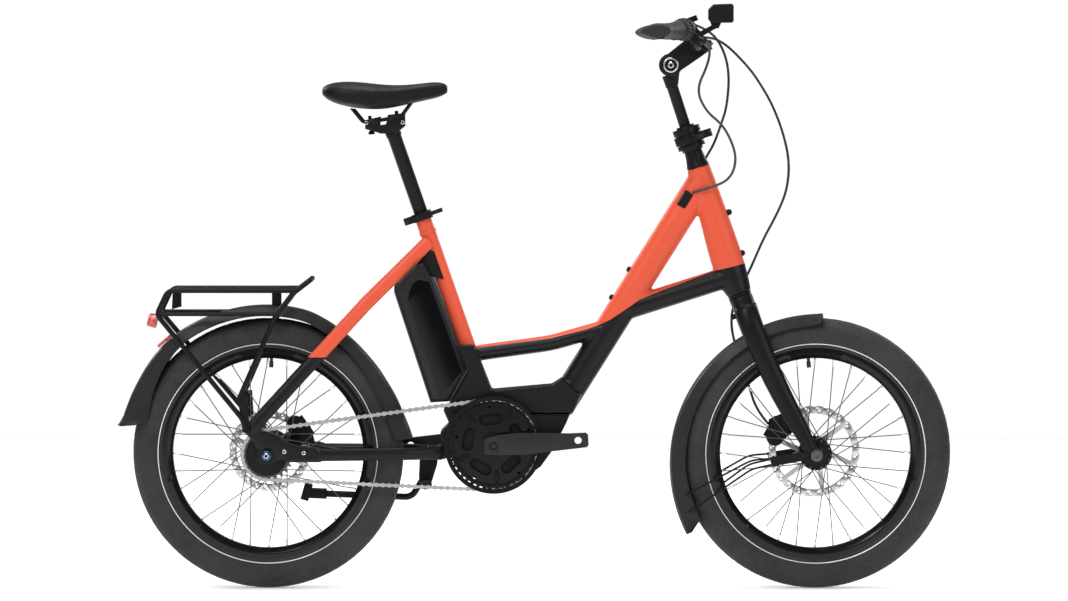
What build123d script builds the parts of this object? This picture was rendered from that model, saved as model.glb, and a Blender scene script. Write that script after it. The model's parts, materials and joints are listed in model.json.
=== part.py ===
from build123d import *
import os
from math import asin, atan2, cos, degrees, pi, radians, sin, tan

os.makedirs("parts", exist_ok=True)

# Compact 20 inch mid-motor bicycle. +X forward, +Y the rider's left, +Z up,
# with the ground at Z = 0. All sizes are in millimetres.

# ---- driving dimensions ----
wheel_d = 530.0  # over the tyre, 62-406
tyre_w = 62.0
tyre_wall = 4.0
bead_seat_r = 203.0
rim_inner_r = 186.5
rim_w = 34.8
spokes_per_side = 16
spoke_d = 2.0
nipple_d = 4.0
nipple_length = 12.0

wheelbase = 1072.0
bb_x = -78.7
bb_z = 284.6
head_tilt = 18.0  # of the steering axis from the vertical
fork_offset = 45.3
fork_length = 339.4  # axle to crown race, along the steering axis
seat_tilt = 19.2
seat_back = 53.9  # seat tube axis behind the spindle, at seat_rise above it
seat_rise = 197.0

running = 0.05  # radial clearance of a shaft in its hole
gap = 0.4  # between pieces of different bodies

# transmission
pitch = 12.7
ring_teeth = 44
sprocket_teeth = 24
chain_links = 104
chain_y = -50.0
roller_d = 7.8
tooth_w = 2.0
crank_length = 165.0
crank_rest_angle = 3.5
crank_t = 13.5
crank_inner_y = 64.5
pedal_hole_r = 7.14
spindle_d = 20.0

# widths across the bicycle
fork_spacing = 100.0
rear_spacing = 135.0
bar_width = 640.0
axle_r = 6.0

# steering column
steerer_d = 28.6
mast_d = 22.2
head_tube_d = 45.0
head_tube_low = 4.5
head_tube_top = 265.0
post_d = 27.2
seat_tube_d = 31.0
seat_tube_top = 264.0
seat_tube_bottom = -92.0

# ---- places worked out from them ----
wheel_r = wheel_d / 2
axle_z = wheel_r
ring_r = pitch / (2 * sin(pi / ring_teeth))
sprocket_r = pitch / (2 * sin(pi / sprocket_teeth))

chain_slope = 0.09
for step in range(20):
    arc_links = (ring_teeth + sprocket_teeth) / 2 + (ring_teeth - sprocket_teeth) * chain_slope / pi
    run_length = (chain_links - arc_links) * pitch / 2
    chainstay = run_length / cos(chain_slope)
    chain_slope = asin((ring_r - sprocket_r) / chainstay)
rear_axle_x = bb_x - (chainstay**2 - (bb_z - axle_z) ** 2) ** 0.5
front_axle_x = rear_axle_x + wheelbase

head_s = sin(radians(head_tilt))
head_c = cos(radians(head_tilt))
crown_x = front_axle_x - fork_offset * head_c - fork_length * head_s
crown_z = axle_z - fork_offset * head_s + fork_length * head_c
head_plane = Plane(origin=(crown_x, 0, crown_z), x_dir=(head_c, 0, head_s), z_dir=(-head_s, 0, head_c))

seat_s = sin(radians(seat_tilt))
seat_c = cos(radians(seat_tilt))
seat_x = bb_x - seat_back
seat_z = bb_z + seat_rise
seat_plane = Plane(origin=(seat_x, 0, seat_z), x_dir=(seat_c, 0, seat_s), z_dir=(-seat_s, 0, seat_c))


def on_head(ahead, y, up):
    """A point given ahead of, left of and up the steering axis from the crown race."""
    return Vector(crown_x + ahead * head_c - up * head_s, y, crown_z + ahead * head_s + up * head_c)


def on_seat(ahead, y, up):
    """A point given ahead of, left of and up the seat tube's axis."""
    return Vector(seat_x + ahead * seat_c - up * seat_s, y, seat_z + ahead * seat_s + up * seat_c)


def from_bb(x, z):
    """A point in the side view, measured from the crank spindle."""
    return (bb_x + x, bb_z + z)


def from_axle(x, z):
    """A point in the side view, measured from the rear axle."""
    return (rear_axle_x + x, axle_z + z)


def between(start, end, share):
    return start + (end - start) * share


def side_plate(points, y_from, y_to, rounding=0.0, holes=()):
    """A plate with the given outline in the side view, between two places across the bicycle."""
    with BuildPart() as plate:
        with BuildSketch(Plane.XZ.offset(-y_to)) as outline:
            with BuildLine():
                Polyline(*points, close=True)
            make_face()
            if rounding:
                fillet(outline.vertices(), rounding)
            for x, z, radius in holes:
                with Locations((x, z)):
                    Circle(radius, mode=Mode.SUBTRACT)
        extrude(amount=y_to - y_from)
    return plate.part


def rod(points, radius, bends, bore=0.0):
    """A round bar or tube along straight runs joined by tangent arcs."""
    with BuildPart() as bar:
        with BuildLine() as path:
            if len(points) == 2:
                Line(*points)
            else:
                FilletPolyline(*points, radius=bends)
        with BuildSketch(Plane(path.line @ 0, z_dir=path.line % 0)):
            Circle(radius)
            if bore:
                Circle(bore, mode=Mode.SUBTRACT)
        sweep(path=path.line)
    return bar.part


def strut(start, end, wide, deep, wall=0.0):
    """A straight oval tube: wide across the bicycle, deep in the side view."""
    with BuildPart() as tube:
        with BuildSketch(Plane(start, x_dir=(0, 1, 0), z_dir=end - start)):
            Ellipse(wide / 2, deep / 2)
            if wall:
                Ellipse(wide / 2 - wall, deep / 2 - wall, mode=Mode.SUBTRACT)
        extrude(amount=(end - start).length)
    return tube.part


def oval_sweep(points, bends, wide, deep):
    """A bent oval bar: wide across the bicycle, deep in the side view."""
    with BuildPart() as tube:
        with BuildLine() as path:
            FilletPolyline(*points, radius=bends)
        with BuildSketch(Plane(path.line @ 0, x_dir=(0, 1, 0), z_dir=path.line % 0)):
            Ellipse(wide / 2, deep / 2)
        sweep(path=path.line)
    return tube.part


def pin(start, end, radius, bore=0.0):
    """A straight round pin or ring between two points."""
    start, end = Vector(*start), Vector(*end)
    with BuildPart() as shaft:
        with BuildSketch(Plane(start, z_dir=end - start)):
            Circle(radius)
            if bore:
                Circle(bore, mode=Mode.SUBTRACT)
        extrude(amount=(end - start).length)
    return shaft.part


def cross_pin(x, z, y_from, y_to, radius, bore=0.0):
    return pin((x, y_from, z), (x, y_to, z), radius, bore)


def radial_plane(x, z):
    """Sketch plane through a wheel's axis: first coordinate is the radius, second is to the right."""
    return Plane(origin=(x, 0, z), x_dir=(0, 0, 1), z_dir=(1, 0, 0))


def turned(x, z, points):
    """A body turned about an axle: points are (radius, place to the left)."""
    with BuildPart() as body:
        with BuildSketch(radial_plane(x, z)):
            with BuildLine():
                Polyline(*[(radius, -y) for radius, y in points], close=True)
            make_face()
        revolve(axis=Axis((x, 0, z), (0, 1, 0)), revolution_arc=360)
    return body.part


# ======================================================================
# wheels
# ======================================================================
tyre_inner_r = bead_seat_r + 7.3
tyre_mid_r = (wheel_r + bead_seat_r + 3) / 2
tyre_half = wheel_r - tyre_mid_r
valve_r = 3.0
nipple_top_r = rim_inner_r - 0.8
spoke_rim_y = 2.0
flange_hole_d = spoke_d + 0.6
spoke_lift = 4.1  # of a spoke's line from the middle of its flange
cross_angle = 45.0

front_axle_y = fork_spacing / 2
rear_axle_y = rear_spacing / 2
front_hub = {"right": -30.0, "left": 21.0, "hole_r": 28.0}
rear_hub = {"right": -27.0, "left": 25.0, "hole_r": 42.0}


def make_tyre(x):
    with BuildPart() as tyre:
        with BuildSketch(radial_plane(x, axle_z)):
            with Locations((tyre_mid_r, 0)):
                Ellipse(tyre_half, tyre_w / 2)
                Ellipse(tyre_half - tyre_wall, tyre_w / 2 - tyre_wall, mode=Mode.SUBTRACT)
            with Locations((tyre_inner_r / 2, 0)):
                Rectangle(tyre_inner_r, tyre_w, mode=Mode.SUBTRACT)
            for side in (-1, 1):
                with Locations((bead_seat_r + 4.8, side * 12.5)):
                    Rectangle(7.6, 5.0)
        revolve(axis=Axis((x, 0, axle_z), (0, 1, 0)), revolution_arc=360)
    return tyre.part


def make_rim(x, valve_angle):
    half = rim_w / 2
    flange_r = bead_seat_r + 6.8
    bed_r = bead_seat_r + 0.6
    with BuildPart() as rim:
        with BuildSketch(radial_plane(x, axle_z)):
            with BuildLine():
                Polyline((flange_r, half - 1.9), (flange_r, half), (bead_seat_r - 7, half), (rim_inner_r, 10),
                         (rim_inner_r, -10), (bead_seat_r - 7, -half), (flange_r, -half),
                         (flange_r, 1.9 - half), (bed_r, 1.9 - half), (bed_r, half - 1.9), close=True)
            make_face()
            with BuildLine():
                Polyline((bed_r - 2, half - 3.5), (bead_seat_r - 6, half - 2), (rim_inner_r + 2.5, 9),
                         (rim_inner_r + 2.5, -9), (bead_seat_r - 6, 2 - half), (bed_r - 2, 3.5 - half), close=True)
            make_face(mode=Mode.SUBTRACT)
        revolve(axis=Axis((x, 0, axle_z), (0, 1, 0)), revolution_arc=360)
        with BuildSketch(Plane((x, 0, axle_z), z_dir=radial(valve_angle))):
            Circle(valve_r + 1)
        extrude(amount=bead_seat_r + 2, mode=Mode.SUBTRACT)
    return rim.part


def radial(angle):
    return Vector(cos(radians(angle)), 0, sin(radians(angle)))


def make_inner_tube(x, valve_angle):
    """Butyl tube inside the tyre, with its valve through the rim and a cap on the valve."""
    centre_r = tyre_mid_r - 0.5
    with BuildPart() as tube:
        with BuildSketch(radial_plane(x, axle_z)):
            with Locations((centre_r, 0)):
                Ellipse(tyre_half - tyre_wall - 1.5, tyre_w / 2 - tyre_wall - 1.5)
                Ellipse(tyre_half - tyre_wall - 2.7, tyre_w / 2 - tyre_wall - 2.7, mode=Mode.SUBTRACT)
            with Locations((wheel_r, 0)):
                Rectangle(tyre_half, 0.3, mode=Mode.SUBTRACT)
        revolve(axis=Axis((x, 0, axle_z), (0, 1, 0)), revolution_arc=360)
        centre = Vector(x, 0, axle_z)
        skin_r = centre_r - (tyre_half - tyre_wall - 2.1)
        add(pin(centre + radial(valve_angle) * skin_r, centre + radial(valve_angle) * 176, valve_r))
        add(pin(centre + radial(valve_angle) * 180, centre + radial(valve_angle) * 168, valve_r + 1.2))
    return tube.part


def make_spoke(x, hub, side, outbound, angle):
    """One spoke with its head and nipple; side is 1 on the left, -1 on the right."""
    flange_y = hub["left"] if side > 0 else hub["right"]
    turn = cross_angle if outbound else -cross_angle
    line_y = flange_y + spoke_lift * side * (1 if outbound else -1)
    head_y = flange_y - (spoke_lift + 1.0) * side * (1 if outbound else -1)
    centre = Vector(x, 0, axle_z)
    low = centre + radial(angle + turn) * hub["hole_r"] + Vector(0, line_y, 0)
    top = centre + radial(angle) * nipple_top_r + Vector(0, spoke_rim_y * side, 0)
    along = (top - low).normalized()
    nipple_low = top - along * nipple_length
    hook = centre + radial(angle + turn) * hub["hole_r"] + Vector(0, head_y, 0)
    with BuildPart() as spoke:
        add(pin(low, nipple_low, spoke_d / 2))
        add(pin(hook, low, spoke_d / 2))
        with Locations(low):
            Sphere(spoke_d / 2 + 0.02)
        add(pin(hook, hook + Vector(0, 0.9 * side * (1 if outbound else -1), 0), spoke_d))
    return spoke.part, pin(nipple_low, top, nipple_d / 2)


def make_spokes(x, hub):
    solids = []
    step = 360 / spokes_per_side
    for side in (-1, 1):
        for number in range(spokes_per_side):
            angle = number * step + (step / 2 if side > 0 else 0)
            spoke, nipple = make_spoke(x, hub, side, number % 2 == 0, angle)
            solids += spoke.solids() + nipple.solids()
    return Part(children=solids)


def make_rotor(x, y, outer_r, arms):
    """Wave-edged brake disc with drilled track, swept arms and its lock ring."""
    thickness = 1.8
    track = 15.0
    waves = 24
    face = Plane((x, y, axle_z), x_dir=(1, 0, 0), z_dir=(0, -1, 0))
    with BuildPart() as rotor:
        with BuildSketch(face):
            Circle(outer_r)
            with PolarLocations(outer_r + 9.0, waves):
                Circle(11.0, mode=Mode.SUBTRACT)
            Circle(outer_r - track, mode=Mode.SUBTRACT)
            with PolarLocations(outer_r - track + 1.5, waves, start_angle=180 / waves):
                Circle(2.6)
            with PolarLocations(outer_r - track * 0.62, waves, start_angle=180 / waves):
                Circle(2.3, mode=Mode.SUBTRACT)
            with PolarLocations(outer_r - track * 0.32, waves, start_angle=180 / waves + 3):
                Circle(1.8, mode=Mode.SUBTRACT)
            with BuildLine():
                Polyline((16, -4), (outer_r - track + 2, -30), (outer_r - track + 2, -21), (16, 9), close=True)
            arm = make_face(mode=Mode.PRIVATE)
            with PolarLocations(0, arms):
                add(arm)
            Circle(23)
            Circle(17, mode=Mode.SUBTRACT)
        extrude(amount=thickness / 2, both=True)
    return rotor.part


def make_hub(x, hub, shell_r, end_r, right_end, left_end):
    """Hub shell with two drilled flanges, bored for its axle."""
    flange_r = hub["hole_r"] + 4.0
    bore = axle_r + running
    left, right = hub["left"], hub["right"]
    points = [(bore, right_end), (end_r, right_end), (end_r, right - 6), (shell_r, right - 3),
              (shell_r, right - 1.5), (flange_r, right - 1.5), (flange_r, right + 1.5), (shell_r, right + 1.5),
              (shell_r, left - 1.5), (flange_r, left - 1.5), (flange_r, left + 1.5), (shell_r, left + 1.5),
              (shell_r, left + 3), (end_r, left + 6), (end_r, left_end), (bore, left_end)]
    with BuildPart() as shell:
        add(turned(x, axle_z, points))
        step = 360 / spokes_per_side
        for y, start in ((right, 0), (left, step / 2)):
            with BuildSketch(Plane((x, y, axle_z), x_dir=(1, 0, 0), z_dir=(0, -1, 0))):
                with PolarLocations(hub["hole_r"], spokes_per_side, start_angle=start):
                    Circle(flange_hole_d / 2)
            extrude(amount=3, both=True, mode=Mode.SUBTRACT)
    return shell.part


front_rotor_y = 38.0
rear_rotor_y = 43.0
front_valve_angle = 94.2
rear_valve_angle = 88.0

for end, x, valve_angle in (("rear", rear_axle_x, rear_valve_angle), ("front", front_axle_x, front_valve_angle)):
    tyre = make_tyre(x)
    tyre.label = f"{end}_tyre"
    export_step(tyre, f"parts/{end}_tyre.step")
    rim = make_rim(x, valve_angle)
    rim.label = f"{end}_rim"
    export_step(rim, f"parts/{end}_rim.step")
    inner_tube = make_inner_tube(x, valve_angle)
    inner_tube.label = f"{end}_inner_tube"
    export_step(inner_tube, f"parts/{end}_inner_tube.step")
    spokes = make_spokes(x, rear_hub if end == "rear" else front_hub)
    spokes.label = f"{end}_spokes"
    export_step(spokes, f"parts/{end}_spokes.step")

hub_shells = {
    "front": make_hub(front_axle_x, front_hub, 15.0, 16.9, -front_axle_y + gap, front_axle_y - gap),
    "rear": make_hub(rear_axle_x, rear_hub, 32.0, 16.9, -40.0, rear_axle_y - 8),
}
for end, shell in hub_shells.items():
    shell.label = f"{end}_hub"
    export_step(shell, f"parts/{end}_hub.step")

lock_ring_r = 22.0
for end, x, y, outer_r in (("front", front_axle_x, front_rotor_y, 90.0), ("rear", rear_axle_x, rear_rotor_y, 80.0)):
    rotor = make_rotor(x, y, outer_r, 6)
    lock_ring = cross_pin(x, axle_z, y + 0.9, y + 4.9, lock_ring_r, 17.0)
    rotor = Part(children=rotor.solids() + lock_ring.solids())
    rotor.label = f"{end}_rotor"
    export_step(rotor, f"parts/{end}_rotor.step")

# ======================================================================
# fork, front axle, brake and mudguard
# ======================================================================
steerer_r = steerer_d / 2
mast_r = mast_d / 2
steerer_top = 343.0
leg_inner_y = fork_spacing / 2
dropout_t = 14.0
leg_stations = (  # place in the side view from the front axle, place across, depth, width
    (-100.8, 188.2, 53.0, 42.6, 24.0),
    (-69.6, 121.3, 54.0, 40.0, 22.0),
    (-33.7, 54.3, 55.5, 34.0, 19.0),
    (-9.5, 8.0, 57.0, 24.0, 14.0),
)
leg_lean = atan2(100.8 - 9.5, 188.2 - 8.0)


def leg_plane(x, y, z):
    return Plane(origin=(front_axle_x + x, y, axle_z + z), x_dir=(0, 1, 0),
                 z_dir=(sin(leg_lean), 0, -cos(leg_lean)))


with BuildPart() as fork:
    for side in (-1, 1):
        with BuildSketch(Plane(on_head(3, side * 24, -22), x_dir=(0, 1, 0), z_dir=(head_s, 0, -head_c))):
            Ellipse(25, 23)
        with BuildSketch(Plane(on_head(3, side * 47, -66), x_dir=(0, 1, 0), z_dir=(head_s, 0, -head_c))):
            Ellipse(13.5, 22.5)
        for x, z, y, deep, wide in leg_stations:
            with BuildSketch(leg_plane(x, side * y, z)):
                Ellipse(wide / 2, deep / 2)
        loft()
        add(cross_pin(front_axle_x, axle_z, side * leg_inner_y, side * (leg_inner_y + dropout_t), 13.5))
    with BuildSketch(head_plane.offset(-46)):
        with Locations((3, 0)):
            RectangleRounded(44, 70, 20)
    with BuildSketch(head_plane.offset(-0.5)):
        Circle(23.5)
    loft()
    add(pin(on_head(0, 0, -30), on_head(0, 0, steerer_top), steerer_r))
    add(pin(on_head(0, 0, -80), on_head(0, 0, steerer_top + 1), mast_r + running), mode=Mode.SUBTRACT)
    add(cross_pin(front_axle_x, axle_z, -80, 80, axle_r + running), mode=Mode.SUBTRACT)
    add(cross_pin(front_axle_x, axle_z, -leg_inner_y, leg_inner_y, 19), mode=Mode.SUBTRACT)
    add(turned(front_axle_x, axle_z, [(0, -36), (277, -36), (277, 36), (0, 36)]), mode=Mode.SUBTRACT)
fork.part.label = "fork"
export_step(fork.part, "parts/fork.step")

with BuildPart() as front_axle:
    add(cross_pin(front_axle_x, axle_z, -(leg_inner_y + dropout_t), leg_inner_y + dropout_t, axle_r))
    for side in (-1, 1):
        outer = side * (leg_inner_y + dropout_t)
        add(cross_pin(front_axle_x, axle_z, outer, outer + side * 4, 11.5))
        add(cross_pin(front_axle_x, axle_z, outer + side * 2, outer + side * 5, 3.0), mode=Mode.SUBTRACT)
front_axle.part.label = "front_axle"
export_step(front_axle.part, "parts/front_axle.step")


def make_caliper(x, y, angle, rotor_r, mount):
    """Two-piston caliper straddling the disc, its pads, its adapter and two bolts."""
    centre = Vector(x, y, axle_z) + radial(angle) * (rotor_r - 9)
    frame_plane = Plane(origin=centre, x_dir=radial(angle), z_dir=(0, -1, 0))
    with BuildPart() as body:
        with BuildSketch(frame_plane.offset(-15)):
            SlotOverall(62, 34, rotation=90)
        extrude(amount=26)
        with BuildSketch(frame_plane.offset(-2.6)):
            Rectangle(60, 80)
        extrude(amount=5.2, mode=Mode.SUBTRACT)
        with BuildSketch(frame_plane.offset(2.6)):
            with Locations((0, -8), (0, 12)):
                Circle(8)
        extrude(amount=9.6)
        with BuildSketch(frame_plane.offset(-3)):
            with Locations((17.5, 0)):
                Rectangle(9, 44)
        extrude(amount=6)
    pads = []
    for side in (-1, 1):
        with BuildPart() as pad:
            with BuildSketch(frame_plane.offset(side * 1.85)):
                Rectangle(20, 26)
            extrude(amount=0.7, both=True)
        pads += pad.part.solids()
    with BuildPart() as adapter:
        with BuildSketch(Plane.XZ.offset(-(y + 15.2))):
            with BuildLine():
                Polyline(*mount, close=True)
            make_face()
        extrude(amount=-6)
    return body.part.solids() + pads + adapter.part.solids()


front_caliper_angle = 150.0
front_caliper_mount = [(front_axle_x + x, axle_z + z) for x, z in (
    (-92, 24), (-88, 62), (-62, 74), (-34, 42), (-68, 14))]
with BuildPart() as front_caliper:
    add(make_caliper(front_axle_x, front_rotor_y, front_caliper_angle, 90.0, front_caliper_mount))
    add(fork.part, mode=Mode.SUBTRACT)
front_caliper.part.label = "front_brake_caliper"
export_step(front_caliper.part, "parts/front_brake_caliper.step")

# ---- mudguards: a U-shaped skin about an arc, with wire stays ----
guard_w = 74.0
guard_deep = 34.0
guard_t = 2.0
front_guard_x = front_axle_x + 11.3
front_guard_z = axle_z - 24.1
front_guard_r = 296.2


def make_guard(x, z, outer_r, angle_from, angle_to):
    """Mudguard skin turned about an axis across the bicycle, between two angles in the side view."""
    start = radial(angle_from)
    with BuildPart() as skin:
        with BuildSketch(Plane(origin=(x, 0, z), x_dir=start, z_dir=(start.Z, 0, -start.X))) as section:
            with BuildLine():
                Polyline((outer_r - guard_deep, guard_w / 2), (outer_r - 10, guard_w / 2), (outer_r, guard_w / 2 - 16),
                         (outer_r, 16 - guard_w / 2), (outer_r - 10, -guard_w / 2),
                         (outer_r - guard_deep, -guard_w / 2), (outer_r - guard_deep, guard_t - guard_w / 2),
                         (outer_r - 10.8, guard_t - guard_w / 2), (outer_r - guard_t, 16.8 - guard_w / 2),
                         (outer_r - guard_t, guard_w / 2 - 16.8), (outer_r - 10.8, guard_w / 2 - guard_t),
                         (outer_r - guard_deep, guard_w / 2 - guard_t), close=True)
            make_face()
        revolve(axis=Axis((x, 0, z), (0, -1, 0)), revolution_arc=angle_to - angle_from)
    return skin.part


front_guard = make_guard(front_guard_x, front_guard_z, front_guard_r, 89.5, 207.0)
stay_r = 2.0
front_stay_y = leg_inner_y + dropout_t - 5
guard_side_y = guard_w / 2 + 0.3 + stay_r


def guard_point(x, z, outer_r, angle, depth):
    """A point in the side view on a mudguard's skirt, depth inside its crown."""
    reach = outer_r - depth
    return (x + reach * cos(radians(angle)), z + reach * sin(radians(angle)))


with BuildPart() as front_guard_stays:
    for side in (-1, 1):
        plate_x = front_axle_x - 87
        add(side_plate([(plate_x, axle_z - 22), (plate_x - 5, axle_z - 4), (front_axle_x - 14, axle_z + 8),
                        (front_axle_x - 16, axle_z - 9)],
                       *sorted((side * front_stay_y, side * (front_stay_y + 4)))))
        for angle, drop in ((192.0, -6.0), (199.0, -17.0)):
            end_x, end_z = guard_point(front_guard_x, front_guard_z, front_guard_r, angle, 22)
            stay_y = side * (front_stay_y + 2)
            add(rod([(plate_x + 6, stay_y, axle_z + drop), (plate_x - 40, stay_y, axle_z + drop * 1.6),
                     (end_x, side * guard_side_y, end_z)], stay_r, [60]))
    add(fork.part, mode=Mode.SUBTRACT)
    add(front_axle.part, mode=Mode.SUBTRACT)
with BuildPart() as guard_bolt:
    add(pin(on_head(-12, 0, -36), on_head(-30, 0, -36), 5.0))
    add(fork.part, mode=Mode.SUBTRACT)
front_mudguard = Part(children=front_guard.solids() + front_guard_stays.part.solids() + guard_bolt.part.solids())
front_mudguard.label = "front_mudguard"
export_step(front_mudguard, "parts/front_mudguard.step")

# ======================================================================
# frame
# ======================================================================
head_r = head_tube_d / 2
bearing_r = 19.5
bearing_t = 9.0
post_r = post_d / 2
seat_tube_r = seat_tube_d / 2

main_start = on_head(0, 0, 238)
main_end = Vector(bb_x + 128, 0, bb_z + 68.4)
strut_start = on_head(0, 0, 42)
strut_end = between(main_start, main_end, 0.575)
step_start = on_seat(0, 0, -24)
step_end = between(main_start, main_end, 0.64)
step_bend = Vector(bb_x + 112, 0, bb_z + 196)

motor_r = 76.0
motor_half = 38.0
cover_t = 5.0
cradle_half = 33.0
seam_z = bb_z + 59.4
motor_front = [from_bb(149, 58.4), from_bb(142, 42), from_bb(133.5, 25), from_bb(111.7, -16.5), from_bb(92, -44),
               from_bb(60, -66), from_bb(0, -76)]

with BuildPart() as motor_outline:
    with BuildSketch(Plane.XZ.offset(-motor_half)):
        with Locations(from_bb(0, 0)):
            Circle(motor_r)
        with BuildLine():
            Polyline(*motor_front, from_bb(0, 40), from_bb(-10, 58.4), close=True)
        make_face()
    extrude(amount=2 * motor_half)

with BuildPart() as head_bore:
    add(pin(on_head(0, 0, -5), on_head(0, 0, head_tube_top + 5), steerer_r + 2.5))
    for up in (head_tube_low, head_tube_top - bearing_t):
        add(pin(on_head(0, 0, up - 0.01), on_head(0, 0, up + bearing_t + 0.01), bearing_r))

with BuildPart() as front_outline:
    with BuildSketch(head_plane.offset(head_tube_low)):
        Circle(head_r + 1.5)
    with BuildSketch(head_plane.offset(head_tube_low + 30)):
        with Locations((-2, 0)):
            Ellipse(head_r + 7, head_r + 1)
    with BuildSketch(head_plane.offset(head_tube_low + 110)):
        with Locations((-2, 0)):
            Ellipse(head_r + 8, head_r)
    with BuildSketch(head_plane.offset(head_tube_low + 190)):
        with Locations((-1, 0)):
            Ellipse(head_r + 4, head_r)
    with BuildSketch(head_plane.offset(head_tube_top)):
        Circle(head_r)
    loft()
    add(strut(main_start, main_end, 48, 56))
    add(strut(strut_start, strut_end, 44, 42))
    add(motor_outline.part, mode=Mode.SUBTRACT)
    with BuildSketch(head_plane.offset(head_tube_top)):
        Rectangle(200, 200)
    extrude(amount=60, mode=Mode.SUBTRACT)

with BuildPart() as front_frame:
    add(front_outline.part)
    add(strut(between(main_start, main_end, 0.09), main_end, 42, 50), mode=Mode.SUBTRACT)
    add(strut(between(strut_start, strut_end, 0.16), between(strut_start, strut_end, 0.8), 38, 36),
        mode=Mode.SUBTRACT)
    add(head_bore.part, mode=Mode.SUBTRACT)
front_frame.part.label = "front_frame"
export_step(front_frame.part, "parts/front_frame.step")

with BuildPart() as head_cone:
    with BuildSketch(head_plane.offset(head_tube_top)):
        Circle(head_r + 0.2)
    with BuildSketch(head_plane.offset(head_tube_top + 14)):
        Circle(19.5)
    with BuildSketch(head_plane.offset(head_tube_top + 33)):
        Circle(17.3)
    loft()
    add(pin(on_head(0, 0, head_tube_top - 1), on_head(0, 0, head_tube_top + 34), steerer_r + running),
        mode=Mode.SUBTRACT)
headset_rings = [pin(on_head(0, 0, up), on_head(0, 0, up + bearing_t), bearing_r, steerer_r + running)
                 for up in (head_tube_low, head_tube_top - bearing_t)]
crown_seal = pin(on_head(0, 0, gap), on_head(0, 0, head_tube_low), head_r + 0.6, steerer_r + running)
headset = Part(children=[solid for ring in headset_rings + [crown_seal, head_cone.part] for solid in ring.solids()])
headset.label = "headset"
export_step(headset, "parts/headset.step")

with BuildPart() as seat_tube:
    add(pin(on_seat(0, 0, seat_tube_bottom), on_seat(0, 0, seat_tube_top), seat_tube_r))
    add(pin(on_seat(0, 0, -70), on_seat(0, 0, seat_tube_top + 1), post_r + running), mode=Mode.SUBTRACT)
    with BuildSketch(seat_plane.offset(seat_tube_top - 40)):
        with Locations((-seat_tube_r, 0)):
            Rectangle(10, 3)
    extrude(amount=50, mode=Mode.SUBTRACT)
    add(pin(on_seat(0, 0, 226), on_seat(0, 0, 233), seat_tube_r + 1.2, post_r + 1))
seat_tube.part.label = "seat_tube"
export_step(seat_tube.part, "parts/seat_tube.step")

# ---- motor and its cradle ----
with BuildPart() as motor_housing:
    add(motor_outline.part)
    add(cross_pin(bb_x, bb_z, -motor_half - 1, motor_half + 1, spindle_d / 2 + running), mode=Mode.SUBTRACT)
motor_housing.part.label = "motor_housing"
export_step(motor_housing.part, "parts/motor_housing.step")

with BuildPart() as motor_covers:
    for y, thick in ((-motor_half - cover_t, cover_t), (motor_half, 12.0)):
        with BuildSketch(Plane.XZ.offset(-y)):
            with Locations(from_bb(0, 0)):
                Circle(motor_r - 3)
            with BuildLine():
                Polyline(from_bb(146, 55.4), from_bb(131, 24), from_bb(109, -17), from_bb(90, -42),
                         from_bb(60, -62), from_bb(0, -70), from_bb(0, 40), from_bb(-8, 55.4), close=True)
            make_face()
        extrude(amount=-thick)
    add(cross_pin(bb_x, bb_z, -60, 60, spindle_d / 2 + 3), mode=Mode.SUBTRACT)
motor_covers.part.label = "motor_covers"
export_step(motor_covers.part, "parts/motor_covers.step")

battery_gap = 2.5
with BuildPart() as lower_frame:
    cradle = [from_bb(-38.3, 193.4), from_bb(-3.7, 105), from_bb(114.2, 115.5), from_bb(133, 128), from_bb(170, 95),
              from_bb(155.3, 61.3), from_bb(152, 59.4), from_bb(-10, 59.4), from_bb(-76.5, 20), from_bb(-77, -28),
              from_bb(-104, -28), from_bb(-104, 24), from_bb(-87.3, 40.4), from_bb(-99, 67),
              from_bb(-85, 80.2), from_bb(-51.5, 139.9), from_bb(-70, 193.4)]
    add(side_plate(cradle, -cradle_half, cradle_half))
    fillet(lower_frame.edges().filter_by(Axis.Y).group_by(Axis.Z)[-1], 0.5)
    add(oval_sweep([step_start, step_bend, step_end], [250], 42, 31))
    add(front_outline.part, mode=Mode.SUBTRACT)
    add(pin(on_seat(0, 0, seat_tube_bottom), on_seat(0, 0, seat_tube_top), seat_tube_r), mode=Mode.SUBTRACT)
    add(motor_outline.part, mode=Mode.SUBTRACT)
lower_frame.part.label = "lower_frame"
export_step(lower_frame.part, "parts/lower_frame.step")

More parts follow.
